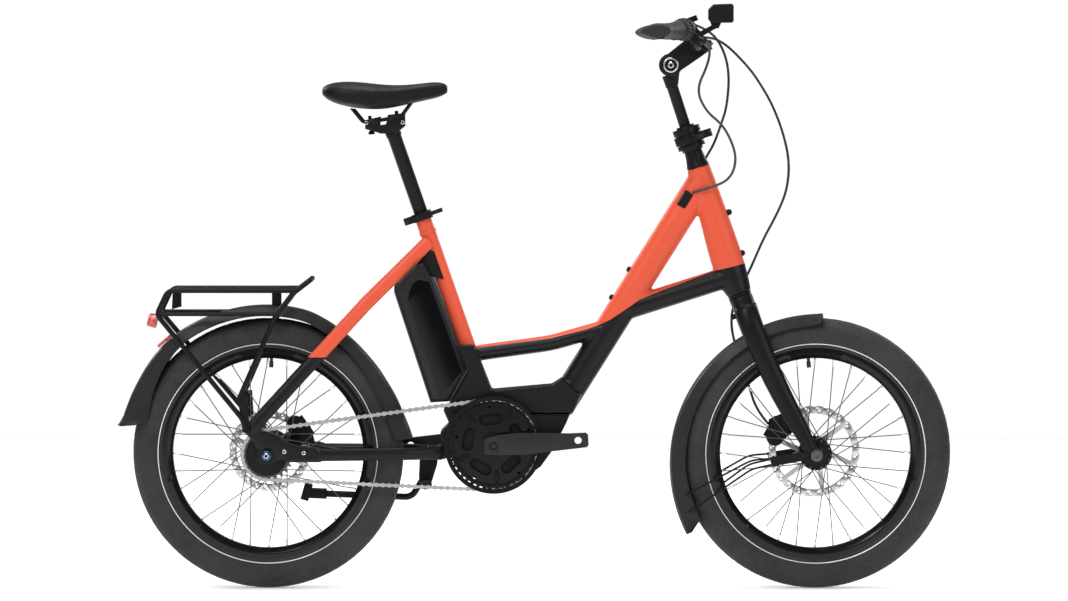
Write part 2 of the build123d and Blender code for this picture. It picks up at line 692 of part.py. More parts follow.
# ---- rear stays, dropout plates and bridges ----
stay_foot = Vector(rear_axle_x - 24, 0, axle_z + 62)
dropout_y = rear_spacing / 2
plate_t = 7.0
lobe_t = 3.5
dropout_outline = [from_axle(x, z) for x, z in (
    (-40.5, 65), (-45.2, 47), (-34.1, 35.1), (-10.6, 17), (17.4, 12.4), (34.9, -11.7), (41.5, -13.7), (106, -13.7),
    (106, 16), (66, 19.6), (32.4, 28.7), (-8, 46), (-20, 64))]
lobe_outline = [from_axle(x, z) for x, z in (
    (-34, 35), (-20, 14), (-18, -12), (-8, -18), (10, -18), (20, -10), (40, -10), (40, 22), (-8, 42))]
with BuildPart() as rear_stays:
    for side in (-1, 1):
        top = on_seat(-2, side * 17, 212)
        add(oval_sweep([top, Vector(seat_x - 198, side * 48, seat_z + 75), Vector(rear_axle_x - 29, side * 71, axle_z + 52)],
                       [200], 14, 28))
        add(oval_sweep([Vector(bb_x - 95, side * 25, bb_z - 18), Vector(bb_x - 180, side * 51, bb_z - 18),
                        Vector(rear_axle_x + 100, side * 71, axle_z + 1)], [150], 15, 26))
        add(side_plate(dropout_outline, *sorted((side * dropout_y, side * (dropout_y + plate_t))), rounding=2.5))
        add(side_plate(lobe_outline, *sorted((side * dropout_y, side * (dropout_y + lobe_t))), rounding=2.5,
                       holes=[(rear_axle_x, axle_z, axle_r + running)]))
    add(cross_pin(seat_x - 215, seat_z + 55, -52, 52, 7.0))
    add(side_plate([from_bb(-130, -8), from_bb(-130, -28), from_bb(-103, -32), from_bb(-103, -4)], -36, 36))
    add(turned(rear_axle_x, axle_z, [(0, -37.5), (291, -37.5), (291, 37.5), (0, 37.5)]), mode=Mode.SUBTRACT)
    add(pin(on_seat(0, 0, seat_tube_bottom), on_seat(0, 0, seat_tube_top), seat_tube_r), mode=Mode.SUBTRACT)
    add(lower_frame.part, mode=Mode.SUBTRACT)
rear_stays.part.label = "rear_stays"
export_step(rear_stays.part, "parts/rear_stays.step")

# ---- seat clamp and its lever ----
clamp_low = seat_tube_top - 10
clamp_high = seat_tube_top + 6
clamp_mid = (clamp_low + clamp_high) / 2
clamp_r = seat_tube_r + 4.5
lever_back = -26.0
with BuildPart() as seat_clamp:
    add(pin(on_seat(0, 0, clamp_low), on_seat(0, 0, clamp_high), clamp_r, seat_tube_r + running))
    add(pin(on_seat(0, 0, seat_tube_top), on_seat(0, 0, clamp_high), clamp_r, post_r + 0.2))
    with BuildSketch(seat_plane.offset(clamp_low + 1)):
        with Locations((lever_back, 0)):
            RectangleRounded(22, 22, 3)
    extrude(amount=clamp_high - clamp_low - 2)
    add(pin(on_seat(0, 0, clamp_low - 1), on_seat(0, 0, seat_tube_top), seat_tube_r + running), mode=Mode.SUBTRACT)
    add(pin(on_seat(0, 0, clamp_low - 1), on_seat(0, 0, clamp_high + 1), post_r + 0.2), mode=Mode.SUBTRACT)
    with BuildSketch(seat_plane.offset(clamp_low - 1)):
        with Locations((lever_back, 0)):
            Rectangle(30, 2.4)
    extrude(amount=30, mode=Mode.SUBTRACT)
    add(pin(on_seat(lever_back, -12, clamp_mid), on_seat(lever_back, 18, clamp_mid), 3.0))
    add(pin(on_seat(lever_back, 11, clamp_mid), on_seat(lever_back, 17, clamp_mid), 6.0))
seat_clamp.part.label = "seat_clamp"
export_step(seat_clamp.part, "parts/seat_clamp.step")

with BuildPart() as seat_lever:
    add(pin(on_seat(lever_back, -18, clamp_mid - 6), on_seat(lever_back, -18, clamp_mid + 6), 5.6))
    with BuildSketch(seat_plane.offset(clamp_mid - 4)):
        with BuildLine():
            Spline((lever_back, -23.4), (0, -26), (26, -22), (42, -14))
            Line((42, -14), (40, -11))
            Spline((40, -11), (24, -17.5), (0, -21.5), (lever_back, -19))
            Line((lever_back, -19), (lever_back, -23.4))
        make_face()
    extrude(amount=8)
seat_lever.part.label = "seat_clamp_lever"
export_step(seat_lever.part, "parts/seat_clamp_lever.step")

# ======================================================================
# battery
# ======================================================================
battery_half = 44.0
battery_outline = [from_bb(x, z) for x, z in (
    (-121.5, 82), (-191, 294), (-191, 304), (-186, 312), (-143, 353), (-137, 353), (-122, 324),
    (-55.5, 142), (-88, 84))]
battery_panel_outline = [from_bb(x, z) for x, z in (
    (-104, 88), (-166, 281), (-165, 297), (-156, 316), (-147, 322), (-126, 318), (-62, 143), (-91, 90))]
lock_outline = [from_bb(x, z) for x, z in (
    (-150, 350), (-132, 377), (-100, 377), (-82, 318), (-121, 327), (-146, 335))]
lock_half = 17.0
battery_bevel = 8.0
with BuildPart() as battery_case:
    add(side_plate(battery_outline, battery_bevel - battery_half, battery_half - battery_bevel))
    for side in (-1, 1):
        with BuildSketch(Plane.XZ.offset(side * (battery_half - battery_bevel))):
            with BuildLine():
                Polyline(*battery_outline, close=True)
            make_face()
        extrude(amount=side * battery_bevel, taper=side * 35)
    for side in (-1, 1):
        add(side_plate(battery_panel_outline, *sorted((side * (battery_half - 2.0), side * (battery_half + 5)))),
            mode=Mode.SUBTRACT)
battery_case.part.label = "battery_case"
export_step(battery_case.part, "parts/battery_case.step")

with BuildPart() as battery_panels:
    for side in (-1, 1):
        add(side_plate(battery_panel_outline, *sorted((side * (battery_half - 2.0), side * (battery_half + 0.6))),
                       rounding=2))
battery_panels.part.label = "battery_panels"
export_step(battery_panels.part, "parts/battery_panels.step")

with BuildPart() as battery_lock:
    add(side_plate(lock_outline, -lock_half, lock_half))
    add(pin(on_seat(0, 0, seat_tube_bottom), on_seat(0, 0, seat_tube_top), seat_tube_r), mode=Mode.SUBTRACT)
    with BuildSketch(seat_plane.offset(60)):
        with Locations((50, 0)):
            Rectangle(100, 60)
    extrude(amount=160, mode=Mode.SUBTRACT)
    add(rear_stays.part, mode=Mode.SUBTRACT)
    add(side_plate(battery_outline, -battery_half, battery_half), mode=Mode.SUBTRACT)
battery_lock.part.label = "battery_lock"
export_step(battery_lock.part, "parts/battery_lock.step")

# ======================================================================
# crankset, chainring, sprocket and chain
# ======================================================================
spindle_r = spindle_d / 2
ring_face = Plane((bb_x, chain_y, bb_z), x_dir=(1, 0, 0), z_dir=(0, -1, 0))
sprocket_face = Plane((rear_axle_x, chain_y, axle_z), x_dir=(1, 0, 0), z_dir=(0, -1, 0))
roller_fit = roller_d / 2 + 0.12
tip_r = 3.5
base_angle = degrees(atan2(bb_z - axle_z, bb_x - rear_axle_x))
slope_angle = degrees(chain_slope)
ring_top_angle = base_angle + 90 + slope_angle
ring_low_angle = base_angle - 90 - slope_angle
ring_links = ring_teeth * (180 + 2 * slope_angle) / 360
run_links = chainstay * cos(chain_slope) / pitch
sprocket_step = 360 / sprocket_teeth
sprocket_first = ring_low_angle - (1 - (ring_links + run_links) % 1) * sprocket_step


def chain_point(link):
    """Place of a chain pin in the side view, counted in links round the chain from the ring's top."""
    if link < ring_links:
        angle = radians(ring_top_angle - link * 360 / ring_teeth)
        return (bb_x + ring_r * cos(angle), bb_z + ring_r * sin(angle))
    if link < ring_links + run_links:
        angle = radians(ring_low_angle)
        away = (link - ring_links) * pitch
        along = radians(ring_low_angle - 90)
        return (bb_x + ring_r * cos(angle) + away * cos(along), bb_z + ring_r * sin(angle) + away * sin(along))
    if link < chain_links - run_links:
        angle = radians(ring_low_angle - (link - ring_links - run_links) * sprocket_step)
        return (rear_axle_x + sprocket_r * cos(angle), axle_z + sprocket_r * sin(angle))
    angle = radians(ring_top_angle)
    away = (chain_links - link) * pitch
    along = radians(ring_top_angle + 90)
    return (bb_x + ring_r * cos(angle) + away * cos(along), bb_z + ring_r * sin(angle) + away * sin(along))


def tooth_gaps(pitch_r, teeth, first_gap):
    """The spaces between teeth: a round seat for each roller, open outwards."""
    with BuildSketch() as gaps:
        with PolarLocations(pitch_r, teeth, start_angle=first_gap):
            Circle(roller_fit)
            Polygon((0, -roller_fit), (tip_r + 1, -6.0), (tip_r + 1, 6.0), (0, roller_fit), align=None)
    return gaps.sketch


ring_arms = 5
with BuildPart() as chainring:
    with BuildSketch(ring_face):
        Circle(ring_r + tip_r)
        add(tooth_gaps(ring_r, ring_teeth, ring_top_angle), mode=Mode.SUBTRACT)
        with PolarLocations(50, ring_arms, start_angle=24):
            SlotOverall(46, 22, rotation=90, mode=Mode.SUBTRACT)
        with PolarLocations(74, ring_arms, start_angle=24):
            Circle(3.0, mode=Mode.SUBTRACT)
        Circle(spindle_r + running, mode=Mode.SUBTRACT)
    extrude(amount=tooth_w / 2, both=True)
    with BuildSketch(ring_face.offset(tooth_w / 2)):
        Circle(24)
        Circle(spindle_r + running, mode=Mode.SUBTRACT)
    extrude(amount=8)
chainring.part.label = "chainring"
export_step(chainring.part, "parts/chainring.step")

guard_r = 95.5
guard_inner_y = 5.2  # outward of the chain line
guard_slots = 15
guard_slot_path = CenterArc((0, 0), 84.5, 3, 18).edge()
with BuildPart() as chain_guard:
    with BuildSketch(ring_face.offset(guard_inner_y)):
        Circle(guard_r)
        Circle(78, mode=Mode.SUBTRACT)
        with PolarLocations(0, guard_slots):
            SlotArc(guard_slot_path, 5.0, mode=Mode.SUBTRACT)
    extrude(amount=3.0)
    with BuildSketch(ring_face.offset(guard_inner_y)):
        with PolarLocations(0, ring_arms, start_angle=60):
            with Locations((68, 0)):
                SlotOverall(34, 9)
        with PolarLocations(70, ring_arms, start_angle=60):
            Circle(2.0, mode=Mode.SUBTRACT)
    extrude(amount=3.0)
    with BuildSketch(ring_face.offset(guard_inner_y + 3)):
        Circle(guard_r)
        Circle(guard_r - 5, mode=Mode.SUBTRACT)
        with PolarLocations(82, ring_arms, start_angle=60):
            Rectangle(16, 3)
    extrude(amount=1.5)
    for number in range(ring_arms):
        angle = 60 + number * 360 / ring_arms
        foot = Vector(bb_x, chain_y - tooth_w / 2, bb_z) + radial(angle) * 62
        add(pin(foot, foot - Vector(0, guard_inner_y - tooth_w / 2 + 3.8, 0), 3.5))
chain_guard.part.label = "chain_guard"
export_step(chain_guard.part, "parts/chain_guard.step")

crank_outline = [(-18.5, -13), (-17, 12), (-12, 16), (8, 20), (52, 21.5), (150, 14.5), (181, 14), (185, 10),
                 (185, -10), (181, -14), (110, -18), (62, -21), (20, -19.5), (-13, -16.5)]
crank_solids = cross_pin(bb_x, bb_z, -crank_inner_y, crank_inner_y, spindle_r).solids()
for side, heading in ((-1, crank_rest_angle), (1, crank_rest_angle + 180)):
    face = Plane((bb_x, side * crank_inner_y, bb_z), x_dir=radial(heading), z_dir=(0, side, 0))
    with BuildPart() as crank_arm:
        with BuildSketch(face):
            with BuildLine():
                Polyline(*[(x, -side * z) for x, z in crank_outline], close=True)
            make_face()
            with Locations((crank_length, 0)):
                Circle(pedal_hole_r, mode=Mode.SUBTRACT)
        extrude(amount=crank_t)
        with BuildSketch(face.offset(crank_t)):
            Circle(9)
            Circle(4.5, mode=Mode.SUBTRACT)
        extrude(amount=-4, mode=Mode.SUBTRACT)
    crank_solids += crank_arm.part.solids()
    crank_solids += cross_pin(bb_x, bb_z, *sorted((side * (crank_inner_y - 5), side * crank_inner_y)), 17.0,
                              spindle_r).solids()
crankset = Part(children=crank_solids)
crankset.label = "crankset"
export_step(crankset, "parts/crankset.step")

hub_end_y = -40.0
with BuildPart() as rear_sprocket:
    with BuildSketch(sprocket_face):
        Circle(sprocket_r + tip_r)
        add(tooth_gaps(sprocket_r, sprocket_teeth, sprocket_first), mode=Mode.SUBTRACT)
        with PolarLocations(32, 8):
            Circle(5.0, mode=Mode.SUBTRACT)
        Circle(axle_r + running, mode=Mode.SUBTRACT)
    extrude(amount=tooth_w / 2, both=True)
    add(cross_pin(rear_axle_x, axle_z, chain_y - tooth_w / 2 - 2, hub_end_y - gap, 22.0, axle_r + running))
rear_sprocket.part.label = "rear_sprocket"
export_step(rear_sprocket.part, "parts/rear_sprocket.step")

roller_w = 2.4
inner_t = 1.0
outer_t = 1.0
pin_r = 1.8
bush_gap = 0.15


def link_outline(height):
    """Figure-eight side plate between two pins half a pitch each side of the middle."""
    with BuildSketch() as outline:
        with Locations((-pitch / 2, 0), (pitch / 2, 0)):
            Circle(height / 2)
        Rectangle(pitch, height * 0.62)
    return outline.sketch


with BuildPart() as inner_link:
    for side in (-1, 1):
        with BuildSketch(Plane.XY.offset(side * (roller_w / 2 + inner_t / 2))):
            add(link_outline(8.6))
            with Locations((-pitch / 2, 0), (pitch / 2, 0)):
                Circle(pin_r + bush_gap, mode=Mode.SUBTRACT)
        extrude(amount=inner_t / 2, both=True)
    with BuildSketch():
        with Locations((-pitch / 2, 0), (pitch / 2, 0)):
            Circle(roller_d / 2)
            Circle(pin_r + bush_gap, mode=Mode.SUBTRACT)
    extrude(amount=roller_w / 2, both=True)

outer_from = roller_w / 2 + inner_t + 0.1
with BuildPart() as outer_link:
    for side in (-1, 1):
        with BuildSketch(Plane.XY.offset(side * (outer_from + outer_t / 2))):
            add(link_outline(8.2))
        extrude(amount=outer_t / 2, both=True)
    with BuildSketch():
        with Locations((-pitch / 2, 0), (pitch / 2, 0)):
            Circle(pin_r)
    extrude(amount=outer_from + outer_t + 0.3, both=True)

chain_solids = []
for number in range(chain_links):
    x0, z0 = chain_point(number)
    x1, z1 = chain_point((number + 1) % chain_links)
    place = Plane(((x0 + x1) / 2, chain_y, (z0 + z1) / 2), x_dir=(x1 - x0, 0, z1 - z0), z_dir=(0, -1, 0))
    link = inner_link if number % 2 == 0 else outer_link
    chain_solids += link.part.moved(place.location).solids()
chain = Part(children=chain_solids)
chain.label = "chain"
export_step(chain, "parts/chain.step")

# ======================================================================
# rear axle, brake, stand bracket
# ======================================================================
plate_out = dropout_y + plate_t
lobe_out = dropout_y + lobe_t
with BuildPart() as axle_rod:
    add(cross_pin(rear_axle_x, axle_z, -lobe_out - 12, lobe_out + 12, axle_r))
axle_pieces = axle_rod.part.solids()
for side in (-1, 1):
    axle_pieces += cross_pin(rear_axle_x, axle_z, side * lobe_out, side * (lobe_out + 2), 10.0, axle_r + running).solids()
    with BuildPart() as axle_nut:
        with BuildSketch(Plane((rear_axle_x, side * (lobe_out + 2), axle_z), z_dir=(0, side, 0))):
            RegularPolygon(8.5, 6)
            Circle(axle_r + running, mode=Mode.SUBTRACT)
        extrude(amount=8)
    axle_pieces += axle_nut.part.solids()

# the gear hub's shift joint, a thick disc on the axle between the hub and the right dropout
with BuildPart() as shift_joint:
    add(turned(rear_axle_x, axle_z, [(axle_r + running, -55.5), (30, -55.5), (40, -57.5), (41, -61), (38, -63.5),
                                     (22, -64.5), (22, -dropout_y), (axle_r + running, -dropout_y)]))
    with BuildSketch(Plane((rear_axle_x, -58, axle_z), x_dir=(1, 0, 0), z_dir=(0, -1, 0))):
        with Locations((34, 12)):
            RectangleRounded(34, 12, 4, rotation=20)
    extrude(amount=5)
rear_axle = Part(children=axle_pieces + shift_joint.part.solids())
rear_axle.label = "rear_axle"
export_step(rear_axle, "parts/rear_axle.step")

rear_caliper_angle = 35.0
rear_caliper_mount = [from_axle(x, z) for x, z in ((34, 20), (38, 44), (58, 60), (80, 48), (88, 18), (60, 16))]
with BuildPart() as rear_caliper:
    add(make_caliper(rear_axle_x, rear_rotor_y, rear_caliper_angle, 80.0, rear_caliper_mount))
    add(rear_stays.part, mode=Mode.SUBTRACT)
rear_caliper.part.label = "rear_brake_caliper"
export_step(rear_caliper.part, "parts/rear_brake_caliper.step")

stand_pivot_y = 47.0
stand_tube_y = 50.0
stand_pivot = Vector(bb_x - 136.1, stand_pivot_y, bb_z - 69.1)
stand_axis = Vector(0.0737, -0.8607, -0.5024).normalized()
stand_half = 6.5
with BuildPart() as stand_bracket:
    bracket_top = [from_bb(-146, -28), from_bb(-110, -28), from_bb(-112, -46), from_bb(-122, -78), from_bb(-148, -78)]
    add(side_plate(bracket_top, 20, 45))
    add(pin(stand_pivot + stand_axis * (stand_half + gap), stand_pivot + stand_axis * 30, 12.0))
    add(pin(stand_pivot - stand_axis * (stand_half + 60), stand_pivot + stand_axis * (stand_half + gap), 17.0),
        mode=Mode.SUBTRACT)
    add(pin(stand_pivot - stand_axis * (stand_half + 3), stand_pivot + stand_axis * (stand_half + 2), 5.0))
    add(pin(stand_pivot - stand_axis * (stand_half + 3), stand_pivot - stand_axis * (stand_half + gap), 8.0))
    add(rear_stays.part, mode=Mode.SUBTRACT)
stand_bracket.part.label = "stand_bracket"
export_step(stand_bracket.part, "parts/stand_bracket.step")

with BuildPart() as kickstand:
    add(pin(stand_pivot - stand_axis * stand_half, stand_pivot + stand_axis * stand_half, 12.0))
    add(rod([stand_pivot + Vector(-4, 0, -6), Vector(bb_x - 163, stand_tube_y, bb_z - 111),
             Vector(bb_x - 340, stand_tube_y, bb_z - 104)], 6.5, [22]))
    add(pin(stand_pivot - stand_axis * (stand_half + 1), stand_pivot + stand_axis * (stand_half + 1), 5.0 + running),
        mode=Mode.SUBTRACT)
    add(pin(stand_pivot + stand_axis * stand_half, stand_pivot + stand_axis * 30, 16.0), mode=Mode.SUBTRACT)
    add(pin(stand_pivot - stand_axis * stand_half, stand_pivot - stand_axis * 30, 12.0), mode=Mode.SUBTRACT)
kickstand.part.label = "kickstand"
export_step(kickstand.part, "parts/kickstand.step")

with BuildPart() as stand_foot:
    add(pin((bb_x - 330, stand_tube_y, bb_z - 104.4), (bb_x - 366, stand_tube_y, bb_z - 103), 10.5))
    with BuildSketch(Plane((bb_x - 362, stand_tube_y, bb_z - 103), x_dir=(0, 1, 0), z_dir=(-1, 0, 0.3))):
        RectangleRounded(26, 34, 8)
    extrude(amount=16)
    add(kickstand.part, mode=Mode.SUBTRACT)
stand_foot.part.label = "kickstand_foot"
export_step(stand_foot.part, "parts/kickstand_foot.step")

# ======================================================================
# rear mudguard, rack and lamps
# ======================================================================
rear_guard_x = rear_axle_x - 10.1
rear_guard_z = axle_z - 3.0
rear_guard_r = 291.5
rear_guard = make_guard(rear_guard_x, rear_guard_z, rear_guard_r, 6.0, 168.0)
rack_y = 56.0
rack_r = 5.0
rack_z = axle_z + 321
rack_foot_y = plate_out + rack_r + 0.5


def at_rear(x, y, z):
    return Vector(rear_axle_x + x, y, axle_z + z)


with BuildPart() as rear_rack:
    for side in (-1, 1):
        add(rod([at_rear(-39, side * rack_foot_y, 52), at_rear(-48, side * rack_foot_y, 74),
                 at_rear(-214, side * rack_y, 274), at_rear(-192, side * rack_y, 321),
                 at_rear(58, side * rack_y, 321)], rack_r, [30, 16, 18]))
        add(rod([at_rear(-54, side * rack_foot_y, 108), at_rear(17, side * (rack_y + 2), 270),
                 at_rear(51, side * rack_y, 315), at_rear(85, side * rack_y, 341), at_rear(85, 0, 341)],
                rack_r, [60, 30, 14]))
        add(rod([at_rear(-207, side * (rack_y + 1), 275), at_rear(22, side * (rack_y + 3), 275)], rack_r - 1, []))
        add(side_plate([from_axle(-46, 45), from_axle(-32, 45), from_axle(-36, 118), from_axle(-56, 118)],
                       *sorted((side * plate_out, side * (plate_out + 5)))))
    for x in (-178, 17):
        add(cross_pin(rear_axle_x + x, rack_z, -rack_y, rack_y, rack_r - 1))
    add(cross_pin(rear_axle_x - 120, rack_z, -rack_y, rack_y, rack_r - 1.5))
    add(cross_pin(rear_axle_x - 60, rack_z, -rack_y, rack_y, rack_r - 1.5))
    add(cross_pin(rear_axle_x - 212, axle_z + 277, -rack_y, rack_y, rack_r - 1))
    add(side_plate([from_axle(-188, 282), from_axle(-170, 287), from_axle(-170, 321), from_axle(-186, 321)], -9, 9))
    add(side_plate([from_axle(8, 286), from_axle(26, 284), from_axle(26, 321), from_axle(8, 321)], -9, 9))
    add(rear_stays.part, mode=Mode.SUBTRACT)
    add(turned(rear_guard_x, rear_guard_z, [(0, -38), (rear_guard_r, -38), (rear_guard_r, 38), (0, 38)]),
        mode=Mode.SUBTRACT)
rear_rack.part.label = "rear_rack"
export_step(rear_rack.part, "parts/rear_rack.step")

rear_guard.label = "rear_mudguard"
export_step(rear_guard, "parts/rear_mudguard.step")

with BuildPart() as rear_lamps:
    with BuildSketch(Plane(at_rear(-218, 0, 258), x_dir=(0, 1, 0), z_dir=(-1, 0, 0.25))):
        RectangleRounded(64, 26, 9)
    extrude(amount=16, taper=6)
    with BuildSketch(Plane(at_rear(-206, 0, 270), x_dir=(0, 1, 0), z_dir=(-1, 0, 0.25))):
        RectangleRounded(40, 12, 3)
    extrude(amount=14)
    add(rear_rack.part, mode=Mode.SUBTRACT)
reflector_at = Vector(rear_guard_x, 0, rear_guard_z) + radial(131) * rear_guard_r
with BuildPart() as reflector:
    with BuildSketch(Plane(reflector_at, x_dir=(0, 1, 0), z_dir=radial(131))):
        RectangleRounded(40, 34, 10)
    extrude(amount=6, taper=8)
rear_lamps = Part(children=rear_lamps.part.solids() + reflector.part.solids())
rear_lamps.label = "rear_lamps"
export_step(rear_lamps, "parts/rear_lamps.step")

# ======================================================================
# handlebar column: twist clamp, sliding mast, tilting stem
# ======================================================================
cone_top = head_tube_top + 33
with BuildPart() as twist_clamp:
    for low, high, radius in ((cone_top + gap, 304, 20.5), (304, 312, 27), (312, 314, 24.5), (314, 331, 28.5),
                              (331, 333, 24.5), (333, 345, 27), (345, 349, 18)):
        add(pin(on_head(0, 0, low), on_head(0, 0, high), radius))
    with BuildSketch(head_plane.offset(315)):
        with Locations((34, 0)):
            RectangleRounded(24, 26, 5)
    extrude(amount=15)
    with BuildSketch(head_plane.offset(300)):
        with Locations((34, 0)):
            Rectangle(40, 2)
    extrude(amount=45, mode=Mode.SUBTRACT)
    add(pin(on_head(0, 0, cone_top), on_head(0, 0, steerer_top + gap), steerer_r + running), mode=Mode.SUBTRACT)
    add(pin(on_head(0, 0, steerer_top), on_head(0, 0, 350), mast_r + running), mode=Mode.SUBTRACT)
    add(pin(on_head(38, -12, 322.5), on_head(38, 17, 322.5), 3.0))
    add(pin(on_head(38, 12, 322.5), on_head(38, 17, 322.5), 6.0))
twist_clamp.part.label = "twist_clamp"
export_step(twist_clamp.part, "parts/twist_clamp.step")

with BuildPart() as twist_lever:
    add(pin(on_head(38, -19, 316.5), on_head(38, -19, 328.5), 5.6))
    with BuildSketch(head_plane.offset(318)):
        with BuildLine():
            Spline((38, -24.4), (16, -34.5), (-10, -36), (-28, -30))
            Line((-28, -30), (-26, -27))
            Spline((-26, -27), (-10, -32), (14, -30.6), (38, -20))
            Line((38, -20), (38, -24.4))
        make_face()
    extrude(amount=9)
    add(pin(on_head(0, 0, 310), on_head(0, 0, 335), 29.0), mode=Mode.SUBTRACT)
twist_lever.part.label = "twist_clamp_lever"
export_step(twist_lever.part, "parts/twist_clamp_lever.step")

mast_low = 220.0
mast_high = 446.0
hinge_at = on_head(9.8, 0, 471)
hinge_half = 15.0
hinge_pin_r = 6.0
with BuildPart() as mast:
    add(pin(on_head(0, 0, mast_low), on_head(0, 0, mast_high), mast_r, 8.6))
    with BuildSketch(head_plane.offset(430)):
        Circle(12.4)
    with BuildSketch(head_plane.offset(454)):
        with Locations((5, 0)):
            RectangleRounded(36, 28, 9)
    loft()
    add(cross_pin(hinge_at.X, hinge_at.Z, -hinge_half, hinge_half, 21.0))
    add(cross_pin(hinge_at.X, hinge_at.Z, -hinge_half - 9, hinge_half + 9, hinge_pin_r))
mast.part.label = "mast"
export_step(mast.part, "parts/mast.step")

stem_half = 21.0
bar_at = hinge_at + Vector(51, 0, 38)
sleeve_r = 15.9
stem_along = (bar_at - hinge_at).normalized()
stem_across = Vector(-stem_along.Z, 0, stem_along.X)


def in_stem(along, across):
    """A point in the side view, along the stem from the bar's middle and across it."""
    point = bar_at + stem_along * along + stem_across * across
    return (point.X, point.Z)


stem_reach = (bar_at - hinge_at).length
stem_outline = [in_stem(-stem_reach, 20), in_stem(0, 22.4), in_stem(13, 22.4), in_stem(19, 17),
                in_stem(19, -17), in_stem(13, -22.4), in_stem(0, -22.4), in_stem(-stem_reach, -20)]
lamp_pivot = hinge_at + Vector(87.6, 0, 76.4)
with BuildPart() as stem_arm:
    add(cross_pin(hinge_at.X, hinge_at.Z, -stem_half, stem_half, 22.4))
    add(side_plate(stem_outline, -stem_half, stem_half))
    add(cross_pin(hinge_at.X, hinge_at.Z, -hinge_half - gap, hinge_half + gap, 24.0), mode=Mode.SUBTRACT)
    add(cross_pin(bar_at.X, bar_at.Z, -30, 30, sleeve_r + running), mode=Mode.SUBTRACT)
    add(side_plate([in_stem(1, 30), in_stem(2.5, 30), in_stem(2.5, -30), in_stem(1, -30)], -30, 30),
        mode=Mode.SUBTRACT)
    for across in (-19.3, 19.3):
        for y in (-14, 14):
            low, high = in_stem(-8, across), in_stem(21, across)
            add(pin((low[0], y, low[1]), (high[0], y, high[1]), 2.6))
            low = in_stem(16, across)
            add(pin((low[0], y, low[1]), (high[0], y, high[1]), 4.3))
    for side in (-1, 1):
        add(cross_pin(hinge_at.X, hinge_at.Z, side * stem_half, side * (stem_half + 2), 14.4))
    add(side_plate([in_stem(10, 20), in_stem(20, 8), (lamp_pivot.X + 2, lamp_pivot.Z - 4.6),
                    (lamp_pivot.X - 4, lamp_pivot.Z + 3)], -6, 6))
    add(cross_pin(lamp_pivot.X, lamp_pivot.Z, -6, 6, 5.0))
    add(cross_pin(lamp_pivot.X, lamp_pivot.Z, -6, 6, 2.5 + running), mode=Mode.SUBTRACT)
    add(cross_pin(hinge_at.X, hinge_at.Z, -30, 30, hinge_pin_r + running), mode=Mode.SUBTRACT)
stem_arm.part.label = "stem_arm"
export_step(stem_arm.part, "parts/stem_arm.step")

# ---- handlebar ----
bar_r = 11.1
bar_half = bar_width / 2
bar_bend = bar_at + Vector(-12, 95, 33.5)
bar_end = bar_at + Vector(-78, bar_half - 4, 22.5)


def on_bar(side, y):
    """A point on the outer run of the bar, y out from the middle."""
    point = between(bar_bend, bar_end, (y - bar_bend.Y) / (bar_end.Y - bar_bend.Y))
    return Vector(point.X, side * point.Y, point.Z)


bar_path = [on_bar(-1, bar_end.Y), on_bar(-1, bar_bend.Y), bar_at - Vector(0, 45, 0), bar_at + Vector(0, 45, 0),
            on_bar(1, bar_bend.Y), on_bar(1, bar_end.Y)]
with BuildPart() as handlebar:
    add(rod(bar_path, bar_r, [60, 50, 50, 60], 8.8))
    add(pin(bar_at - Vector(0, 27, 0), bar_at + Vector(0, 27, 0), sleeve_r, 8.8))
handlebar.part.label = "handlebar"
export_step(handlebar.part, "parts/handlebar.step")

# each grip widens into a palm rest behind the bar: (out from the middle, back, up, half depth, half height)
palm_stations = (
    (200, 0.5, 0, 16.2, 16.0),
    (232, 3.0, 1.0, 18.5, 15.5),
    (268, 6.0, 3.0, 23.0, 14.0),
    (300, 8.5, 4.5, 28.0, 13.0),
    (322, 8.5, 4.5, 28.9, 12.5),
)
with BuildPart() as grip:
    for out, back, up, half_deep, half_high in palm_stations:
        at = on_bar(1, out)
        with BuildSketch(Plane((at.X - back, at.Y, at.Z + up), x_dir=(1, 0, 0), z_dir=(0, 1, 0))):
            Ellipse(half_deep, half_high)
    loft()
    add(pin(on_bar(1, 184.5), on_bar(1, 210), 16.0))
    add(pin(on_bar(1, 184.5), on_bar(1, 190), 18.5))
    add(pin(on_bar(1, 294), on_bar(1, 330), 19.0))
    add(pin(on_bar(1, 180), on_bar(1, bar_end.Y), bar_r), mode=Mode.SUBTRACT)
    with Locations((bar_at.X, bar_half + 20, bar_at.Z)):
        Box(300, 40, 300, mode=Mode.SUBTRACT)
grips = Part(children=grip.part.solids() + grip.part.mirror(Plane.XZ).solids())
grips.label = "grips"
export_step(grips, "parts/grips.step")

with BuildPart() as twist_shifter:
    add(pin(on_bar(-1, 153), on_bar(-1, 183), 19.0))
    add(pin(on_bar(-1, 153), on_bar(-1, 160), 22.0))
    add(pin(on_bar(-1, 152), on_bar(-1, 184), bar_r + running), mode=Mode.SUBTRACT)
    bar_run = on_bar(-1, 200) - on_bar(-1, 100)
    with BuildSketch(Plane(on_bar(-1, 162), x_dir=(0, 0, 1), z_dir=bar_run)):
        with PolarLocations(19.0, 18):
            Circle(1.6)
    extrude(amount=20)
    add(pin(on_bar(-1, 152), on_bar(-1, 185), bar_r + running), mode=Mode.SUBTRACT)
twist_shifter.part.label = "twist_shifter"
export_step(twist_shifter.part, "parts/twist_shifter.step")

# ---- brake lever perches, shifter body, handlebar switch and display ----
lever_axis = Vector(0.555, 0, 0.832)
lever_y = 115.0
perch_y = 125.0


def lever_pivot(side):
    at = on_bar(side, perch_y)
    return Vector(at.X + 38, side * lever_y, at.Z - 32)


def lever_plane(side, height):
    return Plane(lever_pivot(side) + lever_axis * height, x_dir=(0, side, 0), z_dir=lever_axis)


